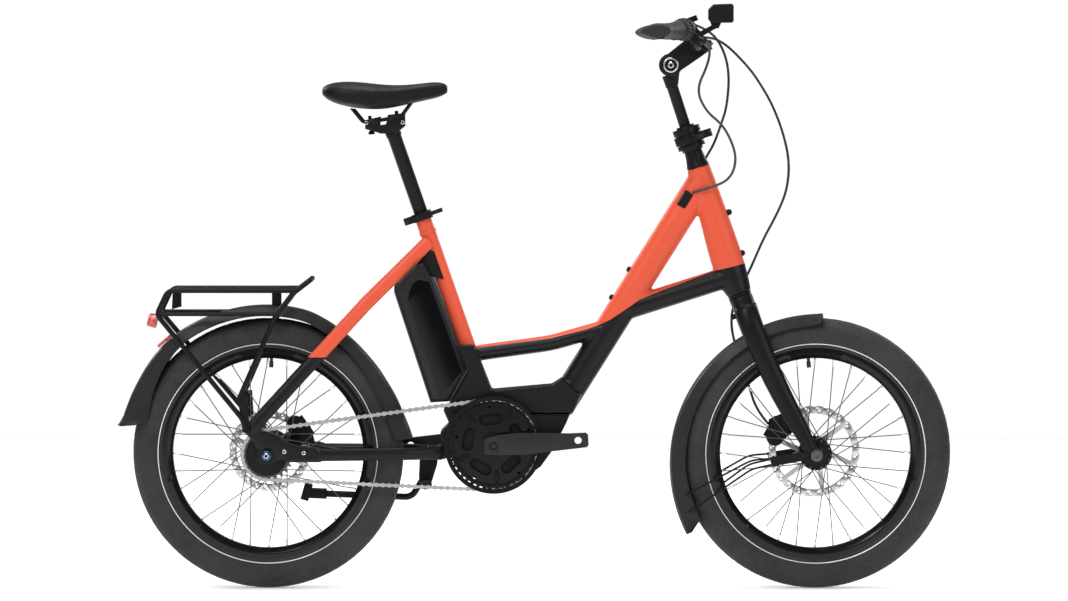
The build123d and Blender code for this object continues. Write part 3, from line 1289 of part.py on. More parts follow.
with BuildPart() as bar_controls:
    for side in (-1, 1):
        at = on_bar(side, perch_y)
        pivot = lever_pivot(side)
        add(pin(on_bar(side, perch_y - 7), on_bar(side, perch_y + 7), 16.5))
        add(pin((at.X + 22, side * 100, at.Z - 18), (at.X + 14, side * 152, at.Z - 20), 9.0))
        add(pin((at.X + 22, side * 102, at.Z - 18), (at.X + 20.5, side * 112, at.Z - 18.4), 11.0))
        add(side_plate([(at.X - 2, at.Z - 15), (at.X + 15, at.Z + 4), (at.X + 30, at.Z - 10), (at.X + 16, at.Z - 28)],
                       *sorted((side * 116, side * 134))))
        for height in (-10, 7):
            with BuildSketch(lever_plane(side, height)):
                with Locations((0, side * 10)):
                    RectangleRounded(16, 36, 7.9)
            extrude(amount=3)
        add(pin(pivot - lever_axis * 12, pivot + lever_axis * 12, 2.5))
    add(pin(on_bar(-1, 137), on_bar(-1, 152.5), 19.5))
    with BuildSketch(Plane(on_bar(-1, 145) + Vector(10, 0, -10), x_dir=(0, 1, 0), z_dir=(0.7, 0, -0.7))):
        RectangleRounded(15, 20, 4)
    extrude(amount=16)
    add(pin(on_bar(1, 140), on_bar(1, 160), 15.0))
    with BuildSketch(Plane(on_bar(1, 152) + Vector(-6, 0, 6), x_dir=(0, 1, 0), z_dir=(-0.55, 0, 0.83))):
        RectangleRounded(30, 26, 6)
    extrude(amount=12)
    add(pin(on_bar(1, 102), on_bar(1, 110), 14.5))
    with BuildSketch(Plane(on_bar(1, 84) + Vector(-5, 0, 9), x_dir=(0, 1, 0), z_dir=(-0.35, 0, 0.94))):
        RectangleRounded(54, 40, 6)
    extrude(amount=11)
    for side in (-1, 1):
        add(pin(on_bar(side, 90), on_bar(side, 190), bar_r + running), mode=Mode.SUBTRACT)
    add(handlebar.part, mode=Mode.SUBTRACT)
bar_controls.part.label = "bar_controls"
export_step(bar_controls.part, "parts/bar_controls.step")

for side, name in ((-1, "brake_lever_right"), (1, "brake_lever_left")):
    with BuildPart() as brake_lever:
        with BuildSketch(lever_plane(side, -5)):
            with BuildLine():
                Spline((-4, -7 * side), (30, -7 * side), (90, -1 * side), (140, 7 * side), (158, 13 * side))
                Line((158, 13 * side), (156, 19 * side))
                Spline((156, 19 * side), (136, 15 * side), (90, 8 * side), (34, 4 * side), (4, 7 * side))
                Line((4, 7 * side), (-4, -7 * side))
            make_face()
        extrude(amount=10)
        add(pin(lever_pivot(side) - lever_axis * 6.5, lever_pivot(side) + lever_axis * 6.5, 7.5))
        with Locations(lever_plane(side, 0).from_local_coords(Vector(154, 15 * side, 0))):
            Sphere(7)
        add(pin(lever_pivot(side) - lever_axis * 8, lever_pivot(side) + lever_axis * 8, 2.5 + running),
            mode=Mode.SUBTRACT)
    brake_lever.part.label = name
    export_step(brake_lever.part, f"parts/{name}.step")

# ---- headlight on its tilting bracket ----
lamp_half = 20.0


def at_lamp(x, z):
    return (lamp_pivot.X + x, lamp_pivot.Z + z)


lamp_outline = [at_lamp(x, z) for x, z in (
    (-14, 13), (-8, 6), (32, 6), (35, 9), (35, 40), (31, 43.3), (-4, 42), (-14, 32))]
lens_plane = Plane((lamp_pivot.X + 31, 0, lamp_pivot.Z + 24.5), x_dir=(0, 1, 0), z_dir=(1, 0, 0))
with BuildPart() as headlight_lens:
    with BuildSketch(lens_plane):
        RectangleRounded(33, 29, 9)
    extrude(amount=4.9, taper=12)
with BuildPart() as headlight:
    with BuildSketch(Plane.XZ.offset(-lamp_half)) as lamp_side:
        with BuildLine():
            Polyline(*lamp_outline, close=True)
        make_face()
        fillet(lamp_side.vertices(), 2.5)
    extrude(amount=2 * lamp_half)
    fillet(headlight.edges().group_by(Axis.Y)[0], 3.5)
    fillet(headlight.edges().group_by(Axis.Y)[-1], 3.5)
    for side in (-1, 1):
        add(side_plate([at_lamp(-6, -5), at_lamp(6, -5), at_lamp(12, 8), at_lamp(-10, 8)],
                       *sorted((side * (6 + gap), side * 10))))
    add(cross_pin(lamp_pivot.X, lamp_pivot.Z, -12, 12, 2.5))
    for x in (-2, 5, 12, 19):
        add(side_plate([at_lamp(x, 41), at_lamp(x + 2.5, 41), at_lamp(x + 2.5, 50), at_lamp(x, 50)], -14, 14),
            mode=Mode.SUBTRACT)
    with BuildSketch(lens_plane):
        RectangleRounded(33, 29, 9)
    extrude(amount=10, mode=Mode.SUBTRACT)
headlight.part.label = "headlight"
export_step(headlight.part, "parts/headlight.step")
headlight_lens.part.label = "headlight_lens"
export_step(headlight_lens.part, "parts/headlight_lens.step")

# ======================================================================
# seatpost and saddle
# ======================================================================
post_low = 60.0
post_high = 440.0
with BuildPart() as seatpost:
    add(pin(on_seat(0, 0, post_low), on_seat(0, 0, post_high), post_r, 11.0))
    add(pin(on_seat(0, 0, post_high - 12), on_seat(0, 0, post_high), post_r + 1.4, 11.0))
seatpost.part.label = "seatpost"
export_step(seatpost.part, "parts/seatpost.step")

post_top = on_seat(0, 0, post_high)


def at_post(x, z):
    return (post_top.X + x, post_top.Z + z)


rail_r = 3.5
rail_line = ((66, 63.5, 12), (41, 59, 14), (18, 27.5, 22), (-54, 14, 22), (-81, 47, 24), (-92, 50, 26))
with BuildPart() as rails:
    for side in (-1, 1):
        add(rod([Vector(post_top.X + x, side * y, post_top.Z + z) for x, z, y in rail_line], rail_r, [12, 14, 14, 8]))
cradle = [at_post(x, z) for x, z in ((-52, 3), (-20, -6), (10, -4), (25, 8), (25, 28.8), (-52, 14.4))]
keeper = [at_post(x, z) for x, z in ((-52, 14.4), (25, 28.8), (25, 34), (-10, 30), (-52, 20))]
with BuildPart() as saddle_mount:
    add(side_plate(cradle, -29, 29))
    add(side_plate(keeper, -29, 29))
    add(side_plate([at_post(-12, 9), at_post(-6, 40), at_post(-22, 37), at_post(-24, 7)], -40, 40),
        mode=Mode.SUBTRACT)
    add(side_plate([at_post(-24, -6), at_post(-12, -6), at_post(-12, 12), at_post(-24, 10)], -29, 29))
    for x in (-40, 12):
        add(pin((post_top.X + x, 0, post_top.Z - 8), (post_top.X + x - 4, 0, post_top.Z + x * 0.19 + 36), 3.5))
        add(pin((post_top.X + x, 0, post_top.Z - 8), (post_top.X + x - 0.6, 0, post_top.Z - 2), 6.0))
    add(rails.part, mode=Mode.SUBTRACT)
    add(seatpost.part, mode=Mode.SUBTRACT)
saddle_mount.part.label = "saddle_mount"
export_step(saddle_mount.part, "parts/saddle_mount.step")

# sections of the saddle from tail to nose: (ahead of the post top, half width, underside, top)
saddle_stations = (
    (-138.0, 42, 70, 80), (-128, 66, 56, 93), (-100, 79, 46, 97.5), (-55, 79, 41, 94), (-12, 62, 43, 89),
    (30, 39, 52, 90), (64, 27, 60, 94), (94, 21, 66, 92), (109.5, 14, 72, 83))


def saddle_loft(narrower, lower_by, thinner):
    with BuildPart() as body:
        for x, half, low, high in saddle_stations:
            height = high - low - thinner
            middle = post_top.Z + (low + high - thinner) / 2 - lower_by
            with BuildSketch(Plane((post_top.X + x, 0, middle), x_dir=(0, 1, 0), z_dir=(1, 0, 0))):
                RectangleRounded(2 * (half - narrower), height, height * 0.42)
        loft()
    return body.part


with BuildPart() as saddle_cover:
    add(saddle_loft(0, 0, 0))
saddle_cover.part.label = "saddle_cover"
export_step(saddle_cover.part, "parts/saddle_cover.step")
with BuildPart() as saddle_base:
    add(saddle_loft(6, 5, 3))
    add(saddle_cover.part, mode=Mode.SUBTRACT)
    add(rails.part)
    add(saddle_cover.part, mode=Mode.SUBTRACT)
saddle_base.part.label = "saddle_base"
export_step(saddle_base.part, "parts/saddle_base.step")

# ======================================================================
# frame fittings and hoses
# ======================================================================
main_down = (main_end - main_start).normalized()
main_normal = Vector(main_down.Z, 0, -main_down.X)
port_at = main_start + main_down * 50 + main_normal * 9
with BuildPart() as frame_fittings:
    for share in (0.4256, 0.5476):
        seat = between(main_start, main_end, share)
        add(pin(seat + main_normal * 24, seat + main_normal * 30.5, 6.0))
        add(pin(seat + main_normal * 30.5, seat + main_normal * 33, 4.4))
    for up in (78, 162):
        add(pin(on_head(16, 0, up), on_head(32.5, 0, up), 6.0))
        add(pin(on_head(32.5, 0, up), on_head(35.5, 0, up), 4.4))
    for side in (-1, 1):
        with BuildSketch(Plane((port_at.X, side * 16, port_at.Z), x_dir=main_down, z_dir=(0, side, 0))):
            RectangleRounded(36, 21, 5)
        extrude(amount=9.5, taper=12)
    add(front_frame.part, mode=Mode.SUBTRACT)
    add(strut(between(main_start, main_end, 0.09), main_end, 42, 50), mode=Mode.SUBTRACT)
    add(head_bore.part, mode=Mode.SUBTRACT)
frame_fittings.part.label = "frame_fittings"
export_step(frame_fittings.part, "parts/frame_fittings.step")

hose_r = 2.5


def hose(name, corners, radius):
    """A round hose through the given corners, each bend as wide as the straight runs beside it allow."""
    corners = [Vector(*corner) for corner in corners]
    bends = []
    for before, corner, after in zip(corners, corners[1:], corners[2:]):
        turn = (corner - before).get_angle(after - corner)
        reach = 0.45 * min((corner - before).length, (after - corner).length)
        bends.append(reach / tan(radians(turn) / 2))
    tube = rod(corners, radius, bends)
    print(name, "bend radii", [round(bend, 1) for bend in bends], "volume", round(tube.volume))
    return tube


perch = on_bar(1, perch_y)
switch_route = [
    (perch.X + 14, 74, perch.Z + 10.4), (perch.X + 44, 62, perch.Z + 1), (perch.X + 72, 52, perch.Z - 31),
    (383.6, 42, 1012.1), (378.7, 35, 944), (365.7, 32, 905.1), (352.8, 31, 869.4), (338.2, 30.5, 845.1),
    (322, 29.5, 815), (302.5, 26.8, 786)]
rear_brake_route = [
    (perch.X + 22.4, -98.6, perch.Z - 18), (perch.X + 31, -82, perch.Z - 24), (342.7, -68, 1057.4),
    (337.9, -60, 1025.2), (315.3, -55, 976.8), (334.7, -50, 934.9), (366.9, -46, 909.1), (386.2, -43, 873.7),
    (394.3, -40, 841.4), (386.2, -36, 809.2), (360.8, -33, 789.6), (309, -27.2, 776)]
front_brake_route = [
    (perch.X + 22.4, 98.6, perch.Z - 18), (perch.X + 33, 78, perch.Z - 14), (369, 62, 1073.7), (420.9, 55, 1021.8),
    (447, 52, 984), (469.5, 49, 944), (490, 46, 890), (502, 44, 833.7), (497.1, 43, 778.6), (477, 43, 731),
    (450.1, 44, 682.3), (423.3, 50, 618), (396, 59, 566), (386, 62, 515), (402, 56, 453), (422, 51, 398),
    (438, 48, 345), (462, 48, 318)]
hoses_to_frame = Part(children=hose("switch_wire", switch_route, hose_r).solids()
                      + hose("rear_brake_hose", rear_brake_route, hose_r).solids())
hoses_to_frame.label = "hoses_to_frame"
export_step(hoses_to_frame, "parts/hoses_to_frame.step")
front_hose = hose("front_brake_hose", front_brake_route, hose_r)
front_hose.label = "front_brake_hose"
export_step(front_hose, "parts/front_brake_hose.step")
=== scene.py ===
import bpy
import json
import numpy as np
from math import cos, pi, radians, sin
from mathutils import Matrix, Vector
from mathutils.bvhtree import BVHTree


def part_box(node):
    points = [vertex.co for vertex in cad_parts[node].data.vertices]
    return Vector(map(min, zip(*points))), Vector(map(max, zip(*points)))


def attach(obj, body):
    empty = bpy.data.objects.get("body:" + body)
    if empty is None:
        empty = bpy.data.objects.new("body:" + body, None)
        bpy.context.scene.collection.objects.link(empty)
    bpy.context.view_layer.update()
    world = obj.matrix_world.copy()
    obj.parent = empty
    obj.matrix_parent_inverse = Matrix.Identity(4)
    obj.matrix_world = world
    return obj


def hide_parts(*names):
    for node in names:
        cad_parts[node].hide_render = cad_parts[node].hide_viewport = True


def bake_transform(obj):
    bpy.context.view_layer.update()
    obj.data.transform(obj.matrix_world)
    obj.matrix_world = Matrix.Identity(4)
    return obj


# Compact electric bicycle. Everything is in metres in the row frame:
# +X forward, +Y the rider's left, +Z up, with the ground at Z = 0.
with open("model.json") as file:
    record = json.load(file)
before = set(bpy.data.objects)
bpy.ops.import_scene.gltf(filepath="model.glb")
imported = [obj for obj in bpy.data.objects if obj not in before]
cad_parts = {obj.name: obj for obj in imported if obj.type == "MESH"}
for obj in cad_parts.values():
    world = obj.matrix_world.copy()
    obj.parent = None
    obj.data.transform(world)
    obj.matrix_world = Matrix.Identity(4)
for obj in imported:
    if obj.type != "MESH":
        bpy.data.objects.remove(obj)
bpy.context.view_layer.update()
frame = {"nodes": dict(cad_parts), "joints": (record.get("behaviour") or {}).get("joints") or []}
nodes = frame["nodes"]
joints = {joint["name"]: joint for joint in frame["joints"]}
scene = bpy.context.scene
weld_reach = 0.000005
crisp_angle = radians(34)


# ---- camera, floor and light ----
def point_at(obj, target):
    obj.rotation_euler = (Vector(target) - obj.location).to_track_quat("-Z", "Y").to_euler()


camera_data = bpy.data.cameras.new("camera")
camera_data.lens = 172.3
camera_data.sensor_width = 36.0
camera_data.clip_end = 60.0
camera = bpy.data.objects.new("camera", camera_data)
scene.collection.objects.link(camera)
camera.location = (0.0214, -10.0, 1.044)
point_at(camera, (0.0, 0.0, 0.564))
scene.camera = camera

world = bpy.data.worlds.new("studio")
scene.world = world
world.use_nodes = True
# the backdrop reads white to the camera and lights the bicycle only weakly, so that black stays black
world_tree = world.node_tree
backdrop = world_tree.nodes["Background"]
backdrop.inputs["Color"].default_value = (1.0, 1.0, 1.0, 1)
seen = world_tree.nodes.new("ShaderNodeLightPath").outputs["Is Camera Ray"]
level = world_tree.nodes.new("ShaderNodeMath")
level.operation = "MULTIPLY_ADD"
world_tree.links.new(seen, level.inputs[0])
level.inputs[1].default_value = 0.85
level.inputs[2].default_value = 0.17
world_tree.links.new(level.outputs[0], backdrop.inputs["Strength"])
scene.view_settings.view_transform = "Standard"


def area_light(name, place, target, size, power):
    data = bpy.data.lights.new(name, "AREA")
    data.energy = power
    data.size = size
    light = bpy.data.objects.new(name, data)
    scene.collection.objects.link(light)
    light.location = place
    point_at(light, target)


area_light("key", (-1.6, -3.4, 3.4), (0, 0, 0.5), 2.0, 135)
area_light("fill", (3.0, -3.2, 1.8), (0.1, 0, 0.5), 2.0, 50)
area_light("top", (0.0, 0.2, 4.2), (0, 0, 0.4), 2.0, 150)
area_light("rim_left", (-2.6, 3.0, 2.4), (0, 0, 0.6), 1.6, 55)
area_light("rim_right", (2.8, 3.0, 2.2), (0, 0, 0.6), 1.6, 45)


# ---- material kit ----
class Kit:
    """Builds one procedural material: colour, roughness and relief all come from nodes in object space."""

    def __init__(self, name):
        self.material = bpy.data.materials.new(name)
        self.material.use_nodes = True
        self.tree = self.material.node_tree
        self.shader = self.tree.nodes["Principled BSDF"]
        self.place = self.tree.nodes.new("ShaderNodeTexCoord").outputs["Object"]
        self.relief = None

    def link(self, value, socket):
        if isinstance(value, bpy.types.NodeSocket):
            self.tree.links.new(value, socket)
        else:
            socket.default_value = value

    def math(self, kind, a, b=0.0, c=0.0, clamp=False):
        node = self.tree.nodes.new("ShaderNodeMath")
        node.operation = kind
        node.use_clamp = clamp
        for socket, value in zip(node.inputs, (a, b, c)):
            self.link(value, socket)
        return node.outputs[0]

    def axis(self, name):
        node = self.tree.nodes.new("ShaderNodeSeparateXYZ")
        self.tree.links.new(self.place, node.inputs[0])
        return node.outputs[name]

    def noise(self, scale, detail=3.0, rough=0.55):
        node = self.tree.nodes.new("ShaderNodeTexNoise")
        node.inputs["Scale"].default_value = scale
        node.inputs["Detail"].default_value = detail
        node.inputs["Roughness"].default_value = rough
        self.tree.links.new(self.place, node.inputs["Vector"])
        return node.outputs["Fac"]

    def cells(self, scale, feature="F1"):
        node = self.tree.nodes.new("ShaderNodeTexVoronoi")
        node.feature = feature
        node.inputs["Scale"].default_value = scale
        self.tree.links.new(self.place, node.inputs["Vector"])
        return node.outputs["Distance"]

    def ramp(self, fac, stops):
        node = self.tree.nodes.new("ShaderNodeValToRGB")
        elements = node.color_ramp.elements
        while len(elements) < len(stops):
            elements.new(0.5)
        for element, (place, value) in zip(elements, stops):
            element.position = place
            element.color = (*value, 1)
        self.link(fac, node.inputs["Fac"])
        return node.outputs["Color"]

    def mix(self, fac, a, b):
        node = self.tree.nodes.new("ShaderNodeMix")
        node.data_type = "RGBA"
        self.link(fac, node.inputs["Factor"])
        for value, socket in ((a, node.inputs["A"]), (b, node.inputs["B"])):
            self.link(value if isinstance(value, bpy.types.NodeSocket) else (*value, 1), socket)
        return node.outputs["Result"]

    def vary(self, colour, amount, scale=9.0):
        """The colour, drifting darker and lighter over the surface."""
        dark = [part * (1 - amount) for part in colour]
        light = [min(1.0, part * (1 + amount)) for part in colour]
        return self.ramp(self.noise(scale, 5.0), [(0.32, dark), (0.68, light)])

    def rough(self, low, high, scale=40.0):
        self.link(self.ramp(self.noise(scale, 4.0), [(0.3, (low,) * 3), (0.7, (high,) * 3)]),
                  self.shader.inputs["Roughness"])

    def bump(self, height, strength, depth):
        node = self.tree.nodes.new("ShaderNodeBump")
        node.inputs["Strength"].default_value = strength
        node.inputs["Distance"].default_value = depth
        self.link(height, node.inputs["Height"])
        if self.relief:
            self.tree.links.new(self.relief, node.inputs["Normal"])
        self.relief = node.outputs[0]
        self.tree.links.new(self.relief, self.shader.inputs["Normal"])

    def colour(self, value):
        self.link(value, self.shader.inputs["Base Color"])

    def set(self, **values):
        for name, value in values.items():
            self.shader.inputs[name.replace("_", " ")].default_value = value
        return self.material


def coated(name, colour, rough, grain=900.0, depth=0.00004, coat=0.0):
    """Paint, powder coat or moulded plastic: a drifting colour with fine specks and a shallow grain."""
    kit = Kit(name)
    base = kit.vary(colour, 0.12)
    speck = kit.ramp(kit.noise(grain * 0.6, 2.0), [(0.40, (0.86,) * 3), (0.62, (1.12,) * 3)])
    blend = kit.tree.nodes.new("ShaderNodeMix")
    blend.data_type = "RGBA"
    blend.blend_type = "MULTIPLY"
    blend.inputs["Factor"].default_value = 1.0
    kit.tree.links.new(base, blend.inputs["A"])
    kit.tree.links.new(speck, blend.inputs["B"])
    kit.colour(blend.outputs["Result"])
    kit.rough(rough * 0.85, min(1.0, rough * 1.2))
    kit.bump(kit.noise(grain, 2.0), 0.5, depth)
    return kit.set(Coat_Weight=coat, Coat_Roughness=0.12, Specular_IOR_Level=0.13)


def metal(name, colour, rough):
    """Bare metal with a fine machined grain."""
    kit = Kit(name)
    kit.colour(kit.vary(colour, 0.12, 14.0))
    kit.rough(rough * 0.75, rough * 1.35, 70.0)
    kit.bump(kit.noise(500.0, 3.0, 0.6), 0.35, 0.00003)
    return kit.set(Metallic=1.0)


satin_black = coated("satin_black", (0.0052, 0.0052, 0.0062), 0.40, coat=0.02)
matte_black = coated("matte_black", (0.0062, 0.0062, 0.0070), 0.55)
cast_black = coated("cast_black", (0.0050, 0.0050, 0.0062), 0.52, grain=420.0, depth=0.00012)
gloss_black = coated("gloss_black", (0.0015, 0.0015, 0.0022), 0.16, grain=1500.0, depth=0.00001, coat=0.15)
moulded = coated("moulded_plastic", (0.0062, 0.0062, 0.0070), 0.48, grain=700.0, depth=0.00008)
slate = coated("slate_plastic", (0.0030, 0.0033, 0.0042), 0.50, grain=700.0, depth=0.00008)
crank_satin = coated("crank_satin", (0.021, 0.021, 0.023), 0.38, grain=900.0, coat=0.05)
battery_shell = coated("battery_shell", (0.013, 0.0135, 0.0155), 0.38, grain=800.0, depth=0.00006, coat=0.08)
rim_black = coated("rim_black", (0.0040, 0.0040, 0.0048), 0.22, grain=1200.0, depth=0.00002, coat=0.25)
steel = metal("ground_steel", (0.50, 0.50, 0.51), 0.30)
bright = metal("bright_steel", (0.72, 0.72, 0.73), 0.2)
dark_steel = metal("dark_steel", (0.10, 0.10, 0.105), 0.42)
chain_steel = metal("chain_steel", (0.42, 0.41, 0.40), 0.34)
blue_ring = metal("blue_alloy", (0.05, 0.16, 0.42), 0.3)

# orange above a printed border, black below it, with the border's height given along the frame
paint = Kit("frame_paint")
border_from, border_to = -0.60, 0.60
border = (
    (-0.60, 0.456), (-0.232, 0.456), (-0.228, 0.478), (-0.118, 0.4785), (-0.112, 0.4725),
    (0.035, 0.4915), (0.100, 0.5075), (0.129, 0.5178), (0.1525, 0.5296), (0.207, 0.5667),
    (0.250, 0.5844), (0.356, 0.6235), (0.4185, 0.6391), (0.60, 0.685))
border_length = border_to - border_from
along = paint.math("DIVIDE", paint.math("SUBTRACT", paint.axis("X"), border_from), border_length)
height = paint.ramp(along, [((x - border_from) / border_length, (z,) * 3) for x, z in border])
border_sharpness = 2500.0
over_border = paint.math("SUBTRACT", paint.axis("Z"), height)
above = paint.math("MULTIPLY_ADD", over_border, border_sharpness, 0.5, clamp=True)
orange = paint.vary((0.60, 0.081, 0.038), 0.05, 7.0)
flake = paint.ramp(paint.noise(900.0, 2.0), [(0.42, (0.54, 0.071, 0.033)), (0.60, (0.64, 0.090, 0.043))])
orange = paint.mix(0.35, orange, flake)
black = paint.vary((0.0052, 0.0052, 0.0064), 0.15)
paint.colour(paint.mix(above, black, orange))
paint.rough(0.34, 0.46)
paint.bump(paint.noise(700.0, 2.0), 0.4, 0.00004)
frame_paint = paint.set(Coat_Weight=0.04, Coat_Roughness=0.25, Specular_IOR_Level=0.16)


def rubber(name, colour, rough, grain=1200.0, depth=0.0001):
    """Rubber: fine pores over a slow unevenness."""
    kit = Kit(name)
    kit.colour(kit.vary(colour, 0.25, 16.0))
    kit.rough(rough * 0.85, rough * 1.12, 120.0)
    kit.bump(kit.cells(grain), 0.35, depth)
    kit.bump(kit.noise(60.0, 4.0), 0.25, 0.0003)
    return kit.set(Sheen_Weight=0.03, Sheen_Roughness=0.5, Specular_IOR_Level=0.30)


tyre_rubber = rubber("tyre_rubber", (0.021, 0.021, 0.022), 0.76)
grip_rubber = rubber("grip_rubber", (0.013, 0.013, 0.014), 0.62, 1600.0)
hose_skin = rubber("hose_skin", (0.013, 0.013, 0.014), 0.38, 2500.0, 0.00003)

band = Kit("reflective_band")
band.colour(band.ramp(band.cells(2600.0), [(0.0, (0.62, 0.63, 0.64)), (0.5, (0.80, 0.81, 0.82))]))
band.rough(0.30, 0.42)
reflective_band = band.set(Metallic=0.35)

braid = Kit("braided_hose")
threads = 2400.0
weave = braid.math("MULTIPLY", braid.math("ADD", braid.axis("Z"), braid.axis("X")), threads)
weave = braid.math("SINE", weave)
cross = braid.math("MULTIPLY", braid.math("SUBTRACT", braid.axis("Z"), braid.axis("Y")), threads)
cross = braid.math("SINE", cross)
lattice = braid.math("MULTIPLY", weave, cross)
braid.colour(braid.ramp(lattice, [(0.35, (0.010, 0.010, 0.011)), (0.8, (0.055, 0.055, 0.058))]))
braid.bump(lattice, 0.6, 0.0003)
braid.rough(0.4, 0.55)
braided = braid.set(Coat_Weight=0.2, Coat_Roughness=0.3)

hide = Kit("saddle_cover")
pores = hide.cells(1500.0)
creases = hide.cells(420.0, "DISTANCE_TO_EDGE")
hide.colour(hide.mix(hide.noise(500.0), (0.0024, 0.0023, 0.0026), (0.0046, 0.0045, 0.0048)))
hide.bump(pores, 0.35, 0.00012)
hide.bump(creases, 0.4, 0.00018)
hide.rough(0.46, 0.62)
saddle_skin = hide.set(Sheen_Weight=0.02, Sheen_Roughness=0.4, Specular_IOR_Level=0.16)

panel = Kit("saddle_panel")
panel.colour(panel.vary((0.0060, 0.0058, 0.0062), 0.15, 20.0))
panel.bump(panel.cells(900.0), 0.5, 0.0002)
panel.rough(0.55, 0.7)
saddle_panel = panel.set(Sheen_Weight=0.03, Sheen_Roughness=0.5, Specular_IOR_Level=0.16)

red = Kit("red_lens")
facets = 2600.0
prisms = red.math("SINE", red.math("MULTIPLY", red.axis("Y"), facets))
prisms = red.math("ADD", prisms, red.math("SINE", red.math("MULTIPLY", red.axis("Z"), facets)))
red.colour(red.ramp(prisms, [(0.2, (0.34, 0.004, 0.004)), (0.9, (0.72, 0.02, 0.015))]))
red.bump(prisms, 0.5, 0.0004)
red.rough(0.10, 0.18)
red_lens = red.set(Coat_Weight=0.8, Coat_Roughness=0.03)

glass = Kit("lamp_lens")
flutes = glass.math("SINE", glass.math("MULTIPLY", glass.axis("Y"), 1500.0))
glass.colour(glass.ramp(flutes, [(0.2, (0.72, 0.74, 0.76)), (0.9, (0.95, 0.96, 0.97))]))
glass.bump(flutes, 0.4, 0.0005)
glass.rough(0.06, 0.12)
lamp_glass = glass.set(Coat_Weight=0.9, Coat_Roughness=0.03)

floor_kit = Kit("floor")
floor_kit.colour(floor_kit.ramp(floor_kit.noise(1.2), [(0.3, (0.93, 0.93, 0.93)), (0.7, (0.95, 0.95, 0.95))]))
floor_kit.rough(0.75, 0.85, 3.0)
floor_white = floor_kit.set(Emission_Color=(1.0, 1.0, 1.0, 1.0), Emission_Strength=0.30)


# ---- mesh kit ----
def new_object(name, verts, faces, materials, picks=None):
    """A smooth-shaded mesh; picks gives each face its material."""
    mesh = bpy.data.meshes.new(name)
    mesh.from_pydata([tuple(vert) for vert in verts], [], faces)
    for material in materials:
        mesh.materials.append(material)
    if picks is not None:
        mesh.polygons.foreach_set("material_index", picks)
    mesh.polygons.foreach_set("use_smooth", [True] * len(mesh.polygons))
    mesh.update()
    obj = bpy.data.objects.new(name, mesh)
    scene.collection.objects.link(obj)
    return obj


def applied(obj):
    """The object with its modifiers made part of its mesh."""
    bpy.context.view_layer.update()
    shaped = bpy.data.meshes.new_from_object(obj.evaluated_get(bpy.context.evaluated_depsgraph_get()))
    obj.modifiers.clear()
    obj.data = shaped
    return obj


def grid_faces(rows, cols, close_rows=False):
    """Faces between rows of cols points each, every row being a closed loop."""
    faces = []
    for row in range(rows if close_rows else rows - 1):
        for col in range(cols):
            here, there = row * cols, ((row + 1) % rows) * cols
            step = (col + 1) % cols
            faces.append((here + col, here + step, there + step, there + col))
    return faces


def dress(name, *materials, bevel=0.0, picks=None):
    """A CAD node with its final materials, rounded edges and smooth shading."""
    obj = nodes[name]
    mesh = obj.data
    mesh.materials.clear()
    for material in materials:
        mesh.materials.append(material)
    if "custom_normal" in mesh.attributes:
        mesh.attributes.remove(mesh.attributes["custom_normal"])
    mesh.polygons.foreach_set("use_smooth", [True] * len(mesh.polygons))
    weld = obj.modifiers.new("weld", "WELD")
    weld.merge_threshold = weld_reach
    if bevel:
        rounding = obj.modifiers.new("rounding", "BEVEL")
        rounding.width = bevel
        rounding.segments = 2
        rounding.limit_method = "ANGLE"
        rounding.angle_limit = radians(38)
    split = obj.modifiers.new("crisp", "EDGE_SPLIT")
    split.split_angle = crisp_angle
    if picks is not None:
        centres = np.zeros(len(mesh.polygons) * 3)
        mesh.polygons.foreach_get("center", centres)
        mesh.polygons.foreach_set("material_index", picks(centres.reshape(-1, 3)).astype(int))
    return obj


def fused(name, *parts, voxel=0.0022, smoothing=10):
    """One smooth-welded skin over copies of several CAD nodes."""
    verts, faces = [], []
    for part in parts:
        mesh = nodes[part].data
        start = len(verts)
        verts += [vert.co.copy() for vert in mesh.vertices]
        faces += [[start + index for index in poly.vertices] for poly in mesh.polygons]
    obj = new_object(name, verts, faces, [])
    weld = obj.modifiers.new("weld", "WELD")
    weld.merge_threshold = weld_reach
    remesh = obj.modifiers.new("skin", "REMESH")
    remesh.mode = "VOXEL"
    remesh.voxel_size = voxel
    relax = obj.modifiers.new("relax", "SMOOTH")
    relax.factor = 0.5
    relax.iterations = smoothing
    applied(obj)
    obj.data.polygons.foreach_set("use_smooth", [True] * len(obj.data.polygons))
    return obj


# ======================================================================
# wheels
# ======================================================================
axle_z = joints["front_wheel_spin"]["pos_m"][2]
wheel_x = {"front": joints["front_wheel_spin"]["pos_m"][0], "rear": joints["rear_wheel_spin"]["pos_m"][0]}


tyre_steps = 540
bead_line = [(0.2035, 0.0135, 0), (0.2055, 0.0162, 0), (0.2085, 0.0185, 0)]
tyre_inside = [
    (0.2050, -0.0120, 0), (0.2130, -0.0150, 0), (0.2350, -0.0265, 0), (0.2540, -0.0150, 0), (0.2585, 0.0, 0),
    (0.2540, 0.0150, 0), (0.2350, 0.0265, 0), (0.2130, 0.0150, 0), (0.2050, 0.0120, 0)]
band_low, band_high = 0.2125, 0.2165
ridge_low, ridge_high = 0.2235, 0.2245
shoulder_r, crown_r = 0.2365, 0.2435
sipes_round, nicks_round = 60, 120
spoke_nipple_r = 0.1735


def tyre_profile():
    """Half of the tyre's outline from bead to crown as (radius, half width, region)."""
    low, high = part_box("front_tyre")
    top = (high.x - low.x) / 2
    half = (high.y - low.y) / 2
    lift = half * 0.985
    centre_r = top - lift
    tread = range(-42, 91, 4)
    return bead_line + [
        (centre_r + sin(radians(degree)) * lift, cos(radians(degree)) * half, 1) for degree in tread]


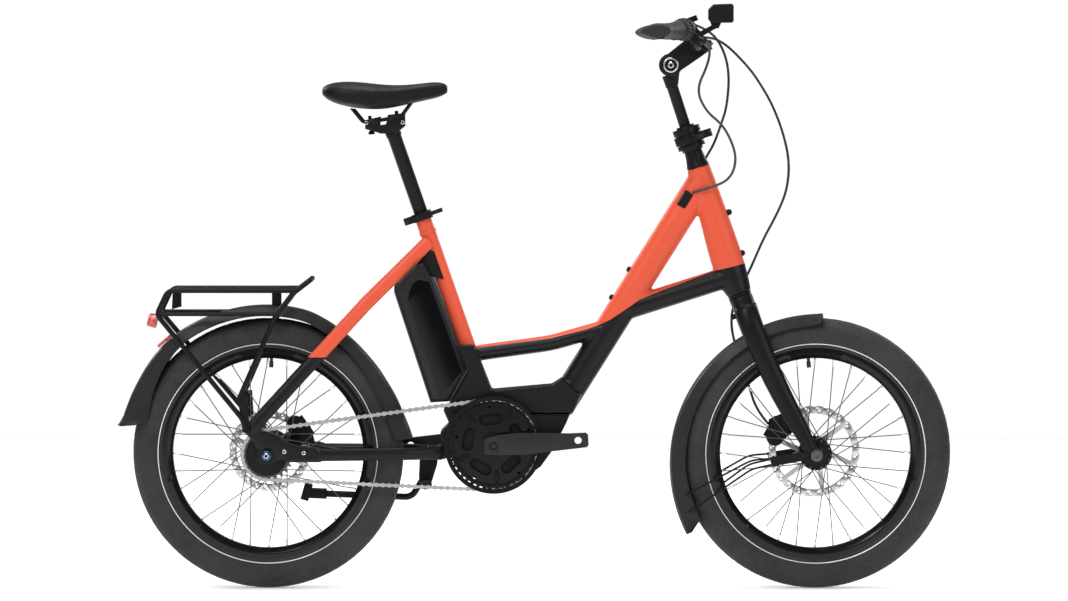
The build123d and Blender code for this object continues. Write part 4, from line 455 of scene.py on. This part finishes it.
def tread_depth(radius, y, step):
    """How far the tread pattern is cut in, at a step on the way round."""
    across = abs(y) / 0.031
    slant = (step * sipes_round / tyre_steps % 1.0 + across * (0.55 if y > 0 else -0.55)) % 1.0
    if radius > crown_r and (slant < 0.13 or 0.30 < across < 0.40 or 0.62 < across < 0.70):
        return 0.0011
    if shoulder_r < radius <= crown_r and (step * nicks_round / tyre_steps + across) % 1.0 < 0.3:
        return 0.0006
    if ridge_low < radius < ridge_high:
        return 0.0004
    return 0.0


def make_tyre(end):
    """The tyre as one closed skin, with its tread pattern and reflective band."""
    half_line = tyre_profile()
    outline = half_line + [(r, -y, region) for r, y, region in reversed(half_line[:-1])]
    ring = outline + tyre_inside
    verts = []
    for step in range(tyre_steps):
        turn = 2 * pi * step / tyre_steps
        for radius, y, region in ring:
            reach = radius - (tread_depth(radius, y, step) if region == 1 else 0.0)
            verts.append((wheel_x[end] + reach * sin(turn), y, axle_z + reach * cos(turn)))
    count = len(ring)
    faces = grid_faces(tyre_steps, count, close_rows=True)
    middles = [(ring[index][0] + ring[(index + 1) % count][0]) / 2 for index in range(count)]
    banded = [
        int(index < len(outline) and band_low < middle < band_high) for index, middle in enumerate(middles)]
    picks = banded * tyre_steps
    faces = [face[::-1] for face in faces]
    obj = new_object(end + "_tyre_skin", verts, faces, [tyre_rubber, reflective_band], picks)
    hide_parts(end + "_tyre")
    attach(obj, end + "_wheel")


for end in ("front", "rear"):
    make_tyre(end)
    dress(end + "_rim", rim_black, bevel=0.0004)
    dress(end + "_inner_tube", hose_skin)
    spin = wheel_x[end]

    def spoke_picks(centres, spin=spin):
        reach = np.hypot(centres[:, 0] - spin, centres[:, 2] - axle_z)
        return reach > spoke_nipple_r

    dress(end + "_spokes", dark_steel, bright, picks=spoke_picks)
    dress(end + "_hub", satin_black, bevel=0.0005)
    dress(end + "_rotor", steel, bevel=0.0002)

fork_skin = fused("fork_skin", "fork", voxel=0.002, smoothing=6)
fork_skin.data.materials.append(satin_black)
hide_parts("fork")
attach(fork_skin, "steering")

# ======================================================================
# frame
# ======================================================================
frame_skin = fused("frame_skin", "front_frame", "lower_frame", "rear_stays", smoothing=8)
frame_skin.data.materials.append(frame_paint)
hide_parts("front_frame", "lower_frame", "rear_stays")
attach(frame_skin, "frame")

for name, material, bevel in (
    ("seat_tube", frame_paint, 0.0), ("headset", satin_black, 0.0004), ("frame_fittings", moulded, 0.0004),
    ("motor_housing", cast_black, 0.0008), ("motor_covers", cast_black, 0.0012),
    ("battery_case", battery_shell, 0.0012), ("battery_panels", gloss_black, 0.0005),
    ("battery_lock", moulded, 0.001),
    ("seat_clamp", satin_black, 0.0005), ("seat_clamp_lever", satin_black, 0.0006),
    ("front_axle", dark_steel, 0.0004), ("front_brake_caliper", satin_black, 0.0006),
    ("rear_brake_caliper", satin_black, 0.0006),
    ("rear_rack", satin_black, 0.0), ("rear_axle", matte_black, 0.0005), ("chain", chain_steel, 0.0),
    ("chain_guard", slate, 0.0004), ("chainring", gloss_black, 0.0), ("crankset", crank_satin, 0.0012),
    ("rear_sprocket", dark_steel, 0.0), ("stand_bracket", satin_black, 0.0006),
    ("kickstand", satin_black, 0.0004),
    ("kickstand_foot", moulded, 0.001), ("twist_clamp", satin_black, 0.0005),
    ("twist_clamp_lever", satin_black, 0.0006),
    ("mast", satin_black, 0.0006), ("stem_arm", satin_black, 0.0008), ("handlebar", satin_black, 0.0),
    ("bar_controls", moulded, 0.0007), ("twist_shifter", grip_rubber, 0.0003),
    ("brake_lever_left", satin_black, 0.001), ("brake_lever_right", satin_black, 0.001),
    ("headlight", moulded, 0.0005), ("headlight_lens", lamp_glass, 0.0006),
    ("seatpost", satin_black, 0.0004), ("saddle_mount", satin_black, 0.0006), ("saddle_base", moulded, 0.0),
    ("rear_lamps", red_lens, 0.0008)):
    dress(name, material, bevel=bevel)

# ======================================================================
# mudguards: rounded skins whose skirts deepen towards the tail
# ======================================================================
guard_plastic = coated("mudguard_plastic", (0.017, 0.017, 0.018), 0.44, grain=650.0, depth=0.00009, coat=0.04)
guard_half = 0.0368
guard_t = 0.0018
guard_steps = 220
guard_across = 21
lip_out = 0.0009


def make_guard(name, body, centre, rows):
    """Mudguard skin; rows hold (degrees, outer radius, skirt depth)."""
    angles = np.array([row[0] for row in rows])
    turns = np.linspace(angles[0], angles[-1], guard_steps)
    radii = np.interp(turns, angles, [row[1] for row in rows])
    depths = np.interp(turns, angles, [row[2] for row in rows])
    window = np.hanning(15) / np.hanning(15).sum()
    radii[7:-7] = np.convolve(radii, window, "valid")
    # the section runs from the left rim over the crown to the right rim, then back along the inside
    verts = []
    for turn, radius, depth in zip(turns, radii, depths):
        outer, inner = [], []
        for step in range(guard_across):
            share = 2 * step / (guard_across - 1) - 1
            y = guard_half * share
            edge = max(0.0, (abs(share) - 0.45) / 0.55)
            drop = depth * (0.30 * edge ** 2 + 0.70 * max(0.0, (abs(share) - 0.80) / 0.20))
            pull = 1.0 - 0.035 * (1 - edge)
            outer.append((y * pull, drop))
            inner.append((y * (1 - guard_t / guard_half), max(drop, 0.0) + guard_t * (1 - edge ** 4)))
        lip = [(guard_half + lip_out, depth - 0.0022), (guard_half + lip_out, depth + 0.0002)]
        loop = ([(-y, drop) for y, drop in reversed(lip)] + outer + lip
                + [(y, min(drop, depth)) for y, drop in reversed(inner)])
        for y, drop in loop:
            reach = radius - drop
            verts.append((centre[0] + reach * cos(radians(turn)), y, centre[1] + reach * sin(radians(turn))))
    count = len(verts) // guard_steps
    faces = grid_faces(guard_steps, count)
    faces.append(tuple(reversed(range(count))))
    faces.append(tuple(range((guard_steps - 1) * count, guard_steps * count)))
    obj = new_object(name, verts, faces, [guard_plastic])
    fix = obj.modifiers.new("crisp", "EDGE_SPLIT")
    fix.split_angle = radians(40)
    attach(obj, body)
    return obj


rear_guard_skin = make_guard("rear_mudguard_skin", "frame", (wheel_x["rear"], axle_z), (
    (6.0, 0.2845, 0.034), (16, 0.2755, 0.031), (31, 0.2715, 0.027), (45, 0.2735, 0.023),
    (59, 0.2800, 0.021), (74, 0.2895, 0.020), (91, 0.2905, 0.020), (110, 0.2920, 0.021),
    (126, 0.2955, 0.024), (135, 0.2950, 0.027), (150, 0.2910, 0.036), (160, 0.2910, 0.045),
    (165, 0.2920, 0.047), (167.8, 0.2960, 0.030), (169.2, 0.2995, 0.008)))
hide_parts("rear_mudguard")
front_guard_at = (wheel_x["front"] + 0.0113, axle_z - 0.0241)
front_guard_skin = make_guard("front_mudguard_skin", "steering", front_guard_at, (
    (89.5, 0.2975, 0.010), (91.0, 0.2965, 0.018), (96, 0.2962, 0.021), (120, 0.2962, 0.021),
    (150, 0.2962, 0.024), (180, 0.2962, 0.030), (198, 0.2962, 0.037), (204, 0.2962, 0.036),
    (207.0, 0.2962, 0.012)))
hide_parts("front_mudguard")


def part_of(name, node, material, keep):
    """The faces of a CAD node whose middles pass a test, as a piece of its own."""
    source = nodes[node].data
    used, verts, faces = {}, [], []
    for poly in source.polygons:
        if not keep(poly.center):
            continue
        face = []
        for index in poly.vertices:
            if index not in used:
                used[index] = len(verts)
                verts.append(source.vertices[index].co.copy())
            face.append(used[index])
        faces.append(face)
    obj = new_object(name, verts, faces, [material])
    weld = obj.modifiers.new("weld", "WELD")
    weld.merge_threshold = weld_reach
    fix = obj.modifiers.new("crisp", "EDGE_SPLIT")
    fix.split_angle = crisp_angle
    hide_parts(node)
    return obj


def off_the_skin(spot):
    """True for the struts and bracket of the front mudguard, false for the skin itself."""
    reach = Vector((spot.x - front_guard_at[0], spot.z - front_guard_at[1])).length
    return abs(spot.y) > 0.0372 or reach < 0.255 or (abs(spot.y) < 0.006 and spot.x < 0.46)


front_guard_stays = part_of("front_mudguard_stays", "front_mudguard", satin_black, off_the_skin)
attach(front_guard_stays, "steering")

# ======================================================================
# saddle
# ======================================================================
# sections from tail to nose: (X, half width, underside Z, top Z, dip along the middle)
saddle_sections = (
    (-0.4135, 0.034, 0.9700, 0.9775, 0.0004), (-0.4105, 0.047, 0.9640, 0.9820, 0.0010),
    (-0.4020, 0.062, 0.9565, 0.9875, 0.0020), (-0.3860, 0.072, 0.9490, 0.9920, 0.0035),
    (-0.3600, 0.078, 0.9425, 0.9935, 0.0050), (-0.3300, 0.077, 0.9385, 0.9910, 0.0058),
    (-0.3000, 0.069, 0.9380, 0.9875, 0.0060), (-0.2750, 0.057, 0.9415, 0.9858, 0.0058),
    (-0.2500, 0.044, 0.9470, 0.9862, 0.0052), (-0.2280, 0.034, 0.9520, 0.9882, 0.0045),
    (-0.2080, 0.0275, 0.9565, 0.9905, 0.0035), (-0.1900, 0.0235, 0.9605, 0.9915, 0.0022),
    (-0.1780, 0.0200, 0.9650, 0.9895, 0.0010), (-0.1710, 0.0150, 0.9695, 0.9855, 0.0004),
    (-0.1690, 0.0090, 0.9730, 0.9815, 0.0))
around = 56
belt_height = 0.38
seam_at = 0.66
verts = []
for x, half, low, high, dip in saddle_sections:
    middle = low + (high - low) * belt_height
    for step in range(around):
        turn = 2 * pi * step / around
        side = cos(turn)
        up = sin(turn)
        y = half * (abs(side) ** 0.72) * (1 if side >= 0 else -1)
        if up >= 0:
            z = middle + (high - middle) * up ** 0.62
            z -= dip * np.exp(-((y / (half * 0.30)) ** 2))
            z += 0.0012 * np.exp(-(((abs(y) - half * 0.52) / (half * 0.22)) ** 2))
        else:
            z = middle - (middle - low) * abs(up) ** 0.5
            y *= 1 - 0.10 * abs(up)
        verts.append((x, y, z))
faces = [face[::-1] for face in grid_faces(len(saddle_sections), around)]
faces.append(tuple(range(around)))
faces.append(tuple(reversed(range((len(saddle_sections) - 1) * around, len(saddle_sections) * around))))
saddle = new_object("saddle_skin", verts, faces, [saddle_skin, saddle_panel])
detail = saddle.modifiers.new("detail", "SUBSURF")
detail.levels = detail.render_levels = 2
applied(saddle)
mesh = saddle.data
spots = np.zeros(len(mesh.vertices) * 3)
mesh.vertices.foreach_get("co", spots)
spots = spots.reshape(-1, 3)
xs = np.array([row[0] for row in saddle_sections])
halves = np.array([row[1] for row in saddle_sections])
tops = np.array([row[3] for row in saddle_sections])
local_half = np.interp(spots[:, 0], xs, halves)
local_top = np.interp(spots[:, 0], xs, tops)
rise = spots[:, 2] - local_top
share = np.abs(spots[:, 1]) / local_half
# a sewn seam runs round the top panel, and the cover puckers a little beside it
seam = np.exp(-(((share - seam_at) / 0.035) ** 2)) * (rise > -0.016)
spots[:, 2] -= 0.0011 * seam
pucker = np.sin(spots[:, 0] * 900) * 0.00018 * np.exp(-(((share - seam_at) / 0.10) ** 2)) * (rise > -0.016)
spots[:, 2] += pucker
mesh.vertices.foreach_set("co", spots.ravel())
middles = np.zeros(len(mesh.polygons) * 3)
mesh.polygons.foreach_get("center", middles)
middles = middles.reshape(-1, 3)
inside = np.abs(middles[:, 1]) / np.interp(middles[:, 0], xs, halves) < seam_at
upper = middles[:, 2] > np.interp(middles[:, 0], xs, tops) - 0.014
mesh.polygons.foreach_set("material_index", (inside & upper).astype(int))
mesh.polygons.foreach_set("use_smooth", [True] * len(mesh.polygons))
mesh.update()
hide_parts("saddle_cover")
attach(saddle, "saddle_post")

# ======================================================================
# grips: ribbed sleeves that widen into palm rests
# ======================================================================
shifter_at = Vector(joints["shifter_twist"]["pos_m"])
bar_run = Vector(joints["shifter_twist"]["axis"])


def on_bar(side, out):
    """A point on the outer run of the bar, out metres from the middle."""
    point = shifter_at + bar_run * ((out - abs(shifter_at.y)) / abs(bar_run.y))
    return Vector((point.x, side * out, point.z))


# (out from the middle, back, up, half depth, half height)
grip_sections = (
    (0.1850, 0.0, 0.0, 0.0180, 0.0180), (0.1885, 0.0, 0.0, 0.0184, 0.0184),
    (0.1895, 0.0, 0.0, 0.0160, 0.0160),
    (0.2000, 0.0003, 0.0, 0.0162, 0.0160), (0.2160, 0.0014, 0.0004, 0.0170, 0.0158),
    (0.2320, 0.0028, 0.0010, 0.0184, 0.0154), (0.2500, 0.0044, 0.0018, 0.0205, 0.0148),
    (0.2680, 0.0060, 0.0028, 0.0232, 0.0142), (0.2860, 0.0076, 0.0038, 0.0262, 0.0140),
    (0.3000, 0.0084, 0.0044, 0.0280, 0.0142), (0.3100, 0.0086, 0.0045, 0.0287, 0.0146),
    (0.3160, 0.0086, 0.0045, 0.0284, 0.0142), (0.3190, 0.0086, 0.0045, 0.0268, 0.0126),
    (0.3198, 0.0086, 0.0045, 0.0230, 0.0095))


ribs_from, ribs_to = 0.193, 0.300
rib_pitch, rib_gap = 4.0, 1.3
palm_pitch, palm_gap = 6.0, 2.0


def make_grip(side):
    """One grip, its ribs running round the front and slanting across the palm rest."""
    rows, around = 150, 72
    outs = np.array([row[0] for row in grip_sections])
    verts = []
    for row in range(rows):
        out = outs[0] + (outs[-1] - outs[0]) * row / (rows - 1)
        back, up, deep, high = (
            np.interp(out, outs, [line[index] for line in grip_sections]) for index in (1, 2, 3, 4))
        at = on_bar(side, out)
        ribbed = ribs_from < out < ribs_to
        palm = min(1.0, max(0.0, (out - 0.2) / 0.1))
        for step in range(around):
            turn = 2 * pi * step / around
            forward, lift = cos(turn), sin(turn)
            rear = max(0.0, -forward)
            reach_x = deep * forward
            reach_z = high * lift * (1 - 0.28 * rear * palm)
            groove = 0.0
            if ribbed and forward > -0.35 and (out * 1000) % rib_pitch < rib_gap:
                groove = 0.0007
            if ribbed and forward < -0.55 and lift > 0 and (out * 1000 + step * 1.4) % palm_pitch < palm_gap:
                groove = 0.0005
            shrink = 1 - groove / deep
            verts.append((at.x - back + reach_x * shrink, side * out, at.z + up + reach_z * shrink))
    faces = grid_faces(rows, around)
    faces.append(tuple(reversed(range(around))))
    faces.append(tuple(range((rows - 1) * around, rows * around)))
    if side > 0:
        faces = [face[::-1] for face in faces]
    return verts, faces


grip_verts, grip_faces = make_grip(-1)
more_verts, more_faces = make_grip(1)
start = len(grip_verts)
grip_verts += more_verts
grip_faces += [tuple(start + index for index in face) for face in more_faces]
grips = new_object("grip_skins", grip_verts, grip_faces, [grip_rubber])
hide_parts("grips")
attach(grips, "bar")


def turned_ring(name, centre, axis, outline, material, steps=64):
    """A ring turned about an axis; the outline holds (along, radius) pairs."""
    axis = Vector(axis).normalized()
    first = axis.orthogonal().normalized()
    second = axis.cross(first)
    verts = []
    for step in range(steps):
        turn = 2 * pi * step / steps
        out = first * cos(turn) + second * sin(turn)
        verts += [Vector(centre) + axis * along + out * radius for along, radius in outline]
    faces = grid_faces(steps, len(outline), close_rows=True)
    obj = new_object(name, verts, faces, [material])
    soft = obj.modifiers.new("rounding", "BEVEL")
    soft.width = 0.0002
    soft.segments = 2
    soft.limit_method = "ANGLE"
    applied(obj)
    split = obj.modifiers.new("crisp", "EDGE_SPLIT")
    split.split_angle = crisp_angle
    obj.data.polygons.foreach_set("use_smooth", [True] * len(obj.data.polygons))
    return obj


# ======================================================================
# small turned parts: silver screws, the stem hinge's trim rings, the axle's blue nut ring
# ======================================================================
def seat_on(names, start, direction):
    """Where a line from start first meets one of the CAD nodes."""
    best = None
    for name in names:
        mesh = nodes[name].data
        corners = [vert.co for vert in mesh.vertices]
        tree = BVHTree.FromPolygons(corners, [tuple(poly.vertices) for poly in mesh.polygons])
        hit = tree.ray_cast(Vector(start), Vector(direction))
        if hit[0] is not None and (best is None or hit[3] < best[1]):
            best = (hit[0], hit[3])
    return best[0] if best else None


def cap_screw(name, body, place, axis, radius, material):
    """A low round screw head with a socket."""
    sunk = -0.0006
    outline = [(sunk, radius * 0.50), (sunk, radius), (radius * 0.42, radius), (radius * 0.60, radius * 0.82),
               (radius * 0.60, radius * 0.52), (radius * 0.10, radius * 0.46)]
    head = turned_ring(name, place, axis, outline, material, 48)
    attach(head, body)


# (name, body, CAD nodes it sits on, X, Z, radius)
screws = (
    ("dropout_screw_rear", "frame", ("rear_stays",), -0.5589, 0.3155, 0.0042),
    ("dropout_screw_middle", "frame", ("rear_stays",), -0.4860, 0.2725, 0.0042),
    ("dropout_screw_front", "frame", ("rear_stays",), -0.4481, 0.2702, 0.0042),
    ("crown_screw_rear", "steering", ("fork",), 0.3900, 0.5300, 0.0040),
    ("clamp_screw_right", "twist_head", ("twist_clamp",), 0.3120, 0.8850, 0.0030),
    ("saddle_screw_rear", "saddle_post", ("saddle_mount",), -0.3270, 0.9120, 0.0040),
    ("saddle_screw_front", "saddle_post", ("saddle_mount",), -0.2560, 0.9130, 0.0040))
for name, body, names, x, z, radius in screws:
    place = seat_on(names, (x, -0.4, z), (0, 1, 0))
    if place is not None:
        cap_screw(name, body, place, (0, -1, 0), radius, bright)

hinge = Vector(joints["stem_tilt"]["pos_m"])
hinge_ring = [(-0.0004, 0.0112), (-0.0004, 0.0146), (0.0010, 0.0146), (0.0014, 0.0138), (0.0014, 0.0118)]
for side, word in ((-1, "right"), (1, "left")):
    face = Vector((hinge.x, side * 0.0230, hinge.z))
    trim = turned_ring("hinge_ring_" + word, face, (0, side, 0), hinge_ring, bright)
    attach(trim, "bar")
    seat = Vector((hinge.x, side * 0.0240, hinge.z))
    cap_screw("hinge_screw_" + word, "telescope", seat, (0, side, 0), 0.0062, bright)

axle_low, axle_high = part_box("rear_axle")
rear_hub_at = Vector(joints["rear_wheel_spin"]["pos_m"])
nut_ring = [(-0.0080, 0.0062), (-0.0080, 0.0092), (0.0008, 0.0092), (0.0014, 0.0084), (0.0014, 0.0062)]
for side, word, end in ((-1, "right", axle_low.y), (1, "left", axle_high.y)):
    nut_face = Vector((rear_hub_at.x, end - side * 0.0040, rear_hub_at.z))
    ring = turned_ring("axle_ring_" + word, nut_face, (0, side, 0), nut_ring, blue_ring)
    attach(ring, "frame")
    seat = Vector((rear_hub_at.x, end - side * 0.0010, rear_hub_at.z))
    cap_screw("axle_end_" + word, "frame", seat, (0, side, 0), 0.0058, steel)

# ======================================================================
# hoses: each follows its route on a smooth curve and is cut into stretches at the given points
# ======================================================================
def route_line(points):
    """Points along the NURBS spline whose control points are the route's corners."""
    curve = bpy.data.curves.new("route", "CURVE")
    curve.dimensions = "3D"
    curve.resolution_u = 16
    spline = curve.splines.new("NURBS")
    spline.points.add(len(points) - 1)
    for point, place in zip(spline.points, points):
        point.co = (*place, 1)
    spline.order_u = 3
    spline.use_endpoint_u = True
    holder = bpy.data.objects.new("route", curve)
    scene.collection.objects.link(holder)
    bpy.context.view_layer.update()
    line = bpy.data.meshes.new_from_object(holder.evaluated_get(bpy.context.evaluated_depsgraph_get()))
    places = [vert.co.copy() for vert in line.vertices]
    bpy.data.objects.remove(holder)
    return places


def tube(name, line, radius, material):
    """A round tube along a line of points, closed at both ends."""
    around = 14
    verts = []
    side = None
    for index, place in enumerate(line):
        ahead = (line[min(index + 1, len(line) - 1)] - line[max(index - 1, 0)]).normalized()
        if side is None:
            side = ahead.orthogonal().normalized()
        side = (side - ahead * side.dot(ahead)).normalized()
        across = ahead.cross(side)
        verts += [place + (side * cos(2 * pi * step / around) + across * sin(2 * pi * step / around)) * radius
                  for step in range(around)]
    faces = grid_faces(len(line), around)
    faces.append(tuple(reversed(range(around))))
    faces.append(tuple(range((len(line) - 1) * around, len(line) * around)))
    return new_object(name, verts, faces, [material])


def make_hose(name, points, radius, material, cuts, cad_node):
    """The hose in stretches, cut where the line passes closest to each given point."""
    line = route_line(points)
    marks = [0]
    for cut in cuts:
        marks.append(min(range(len(line)), key=lambda index: (line[index] - Vector(cut)).length))
    marks.append(len(line) - 1)
    for number, (low, high) in enumerate(zip(marks, marks[1:])):
        piece = tube(f"{name}_{number + 1}", line[low:high + 1], radius, material)
        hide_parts(cad_node)
        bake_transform(piece)


perch = on_bar(1, 0.125)
hose_r = 0.0025
switch_route = [
    (perch.x + 0.014, 0.074, perch.z + 0.0104), (perch.x + 0.044, 0.062, perch.z + 0.001),
    (perch.x + 0.072, 0.052, perch.z - 0.031), (0.3836, 0.042, 1.0121), (0.3787, 0.035, 0.944),
    (0.3657, 0.032, 0.9051), (0.3528, 0.031, 0.8694), (0.3382, 0.0305, 0.8451), (0.322, 0.0295, 0.815),
    (0.3025, 0.0268, 0.786)]
rear_brake_route = [
    (perch.x + 0.0224, -0.0986, perch.z - 0.018), (perch.x + 0.031, -0.082, perch.z - 0.024),
    (0.3427, -0.068, 1.0574), (0.3379, -0.060, 1.0252), (0.3153, -0.055, 0.9768), (0.3347, -0.050, 0.9349),
    (0.3669, -0.046, 0.9091), (0.3862, -0.043, 0.8737), (0.3943, -0.040, 0.8414), (0.3862, -0.036, 0.8092),
    (0.3608, -0.033, 0.7896), (0.309, -0.0272, 0.776)]
front_brake_route = [
    (perch.x + 0.0224, 0.0986, perch.z - 0.018), (perch.x + 0.033, 0.078, perch.z - 0.014),
    (0.369, 0.062, 1.0737), (0.4209, 0.055, 1.0218), (0.447, 0.052, 0.984),
    (0.4695, 0.049, 0.944), (0.490, 0.046, 0.890),
    (0.502, 0.044, 0.8337), (0.4971, 0.043, 0.7786), (0.477, 0.043, 0.731), (0.4501, 0.044, 0.6823),
    (0.4233, 0.050, 0.618), (0.396, 0.059, 0.566), (0.386, 0.062, 0.515), (0.402, 0.056, 0.453),
    (0.422, 0.051, 0.398), (0.438, 0.048, 0.345), (0.462, 0.048, 0.318)]
make_hose("switch_wire", switch_route, hose_r, hose_skin,
          [(0.382, 0.045, 1.020), (0.379, 0.036, 0.950), (0.354, 0.031, 0.873)], "hoses_to_frame")
make_hose("rear_brake_hose", rear_brake_route, hose_r, braided,
          [(0.325, -0.058, 1.000), (0.345, -0.050, 0.925), (0.393, -0.040, 0.848)], "hoses_to_frame")
make_hose("front_brake_hose", front_brake_route, hose_r, hose_skin,
          [(0.447, 0.052, 0.984), (0.500, 0.044, 0.835)], "front_brake_hose")

# ======================================================================
# floor
# ======================================================================
floor_z = -0.0005
floor_corners = [(-14, -9, floor_z), (14, -9, floor_z), (14, 4, floor_z), (-14, 4, floor_z)]
floor = new_object("floor", floor_corners, [(0, 1, 2, 3)], [floor_white])
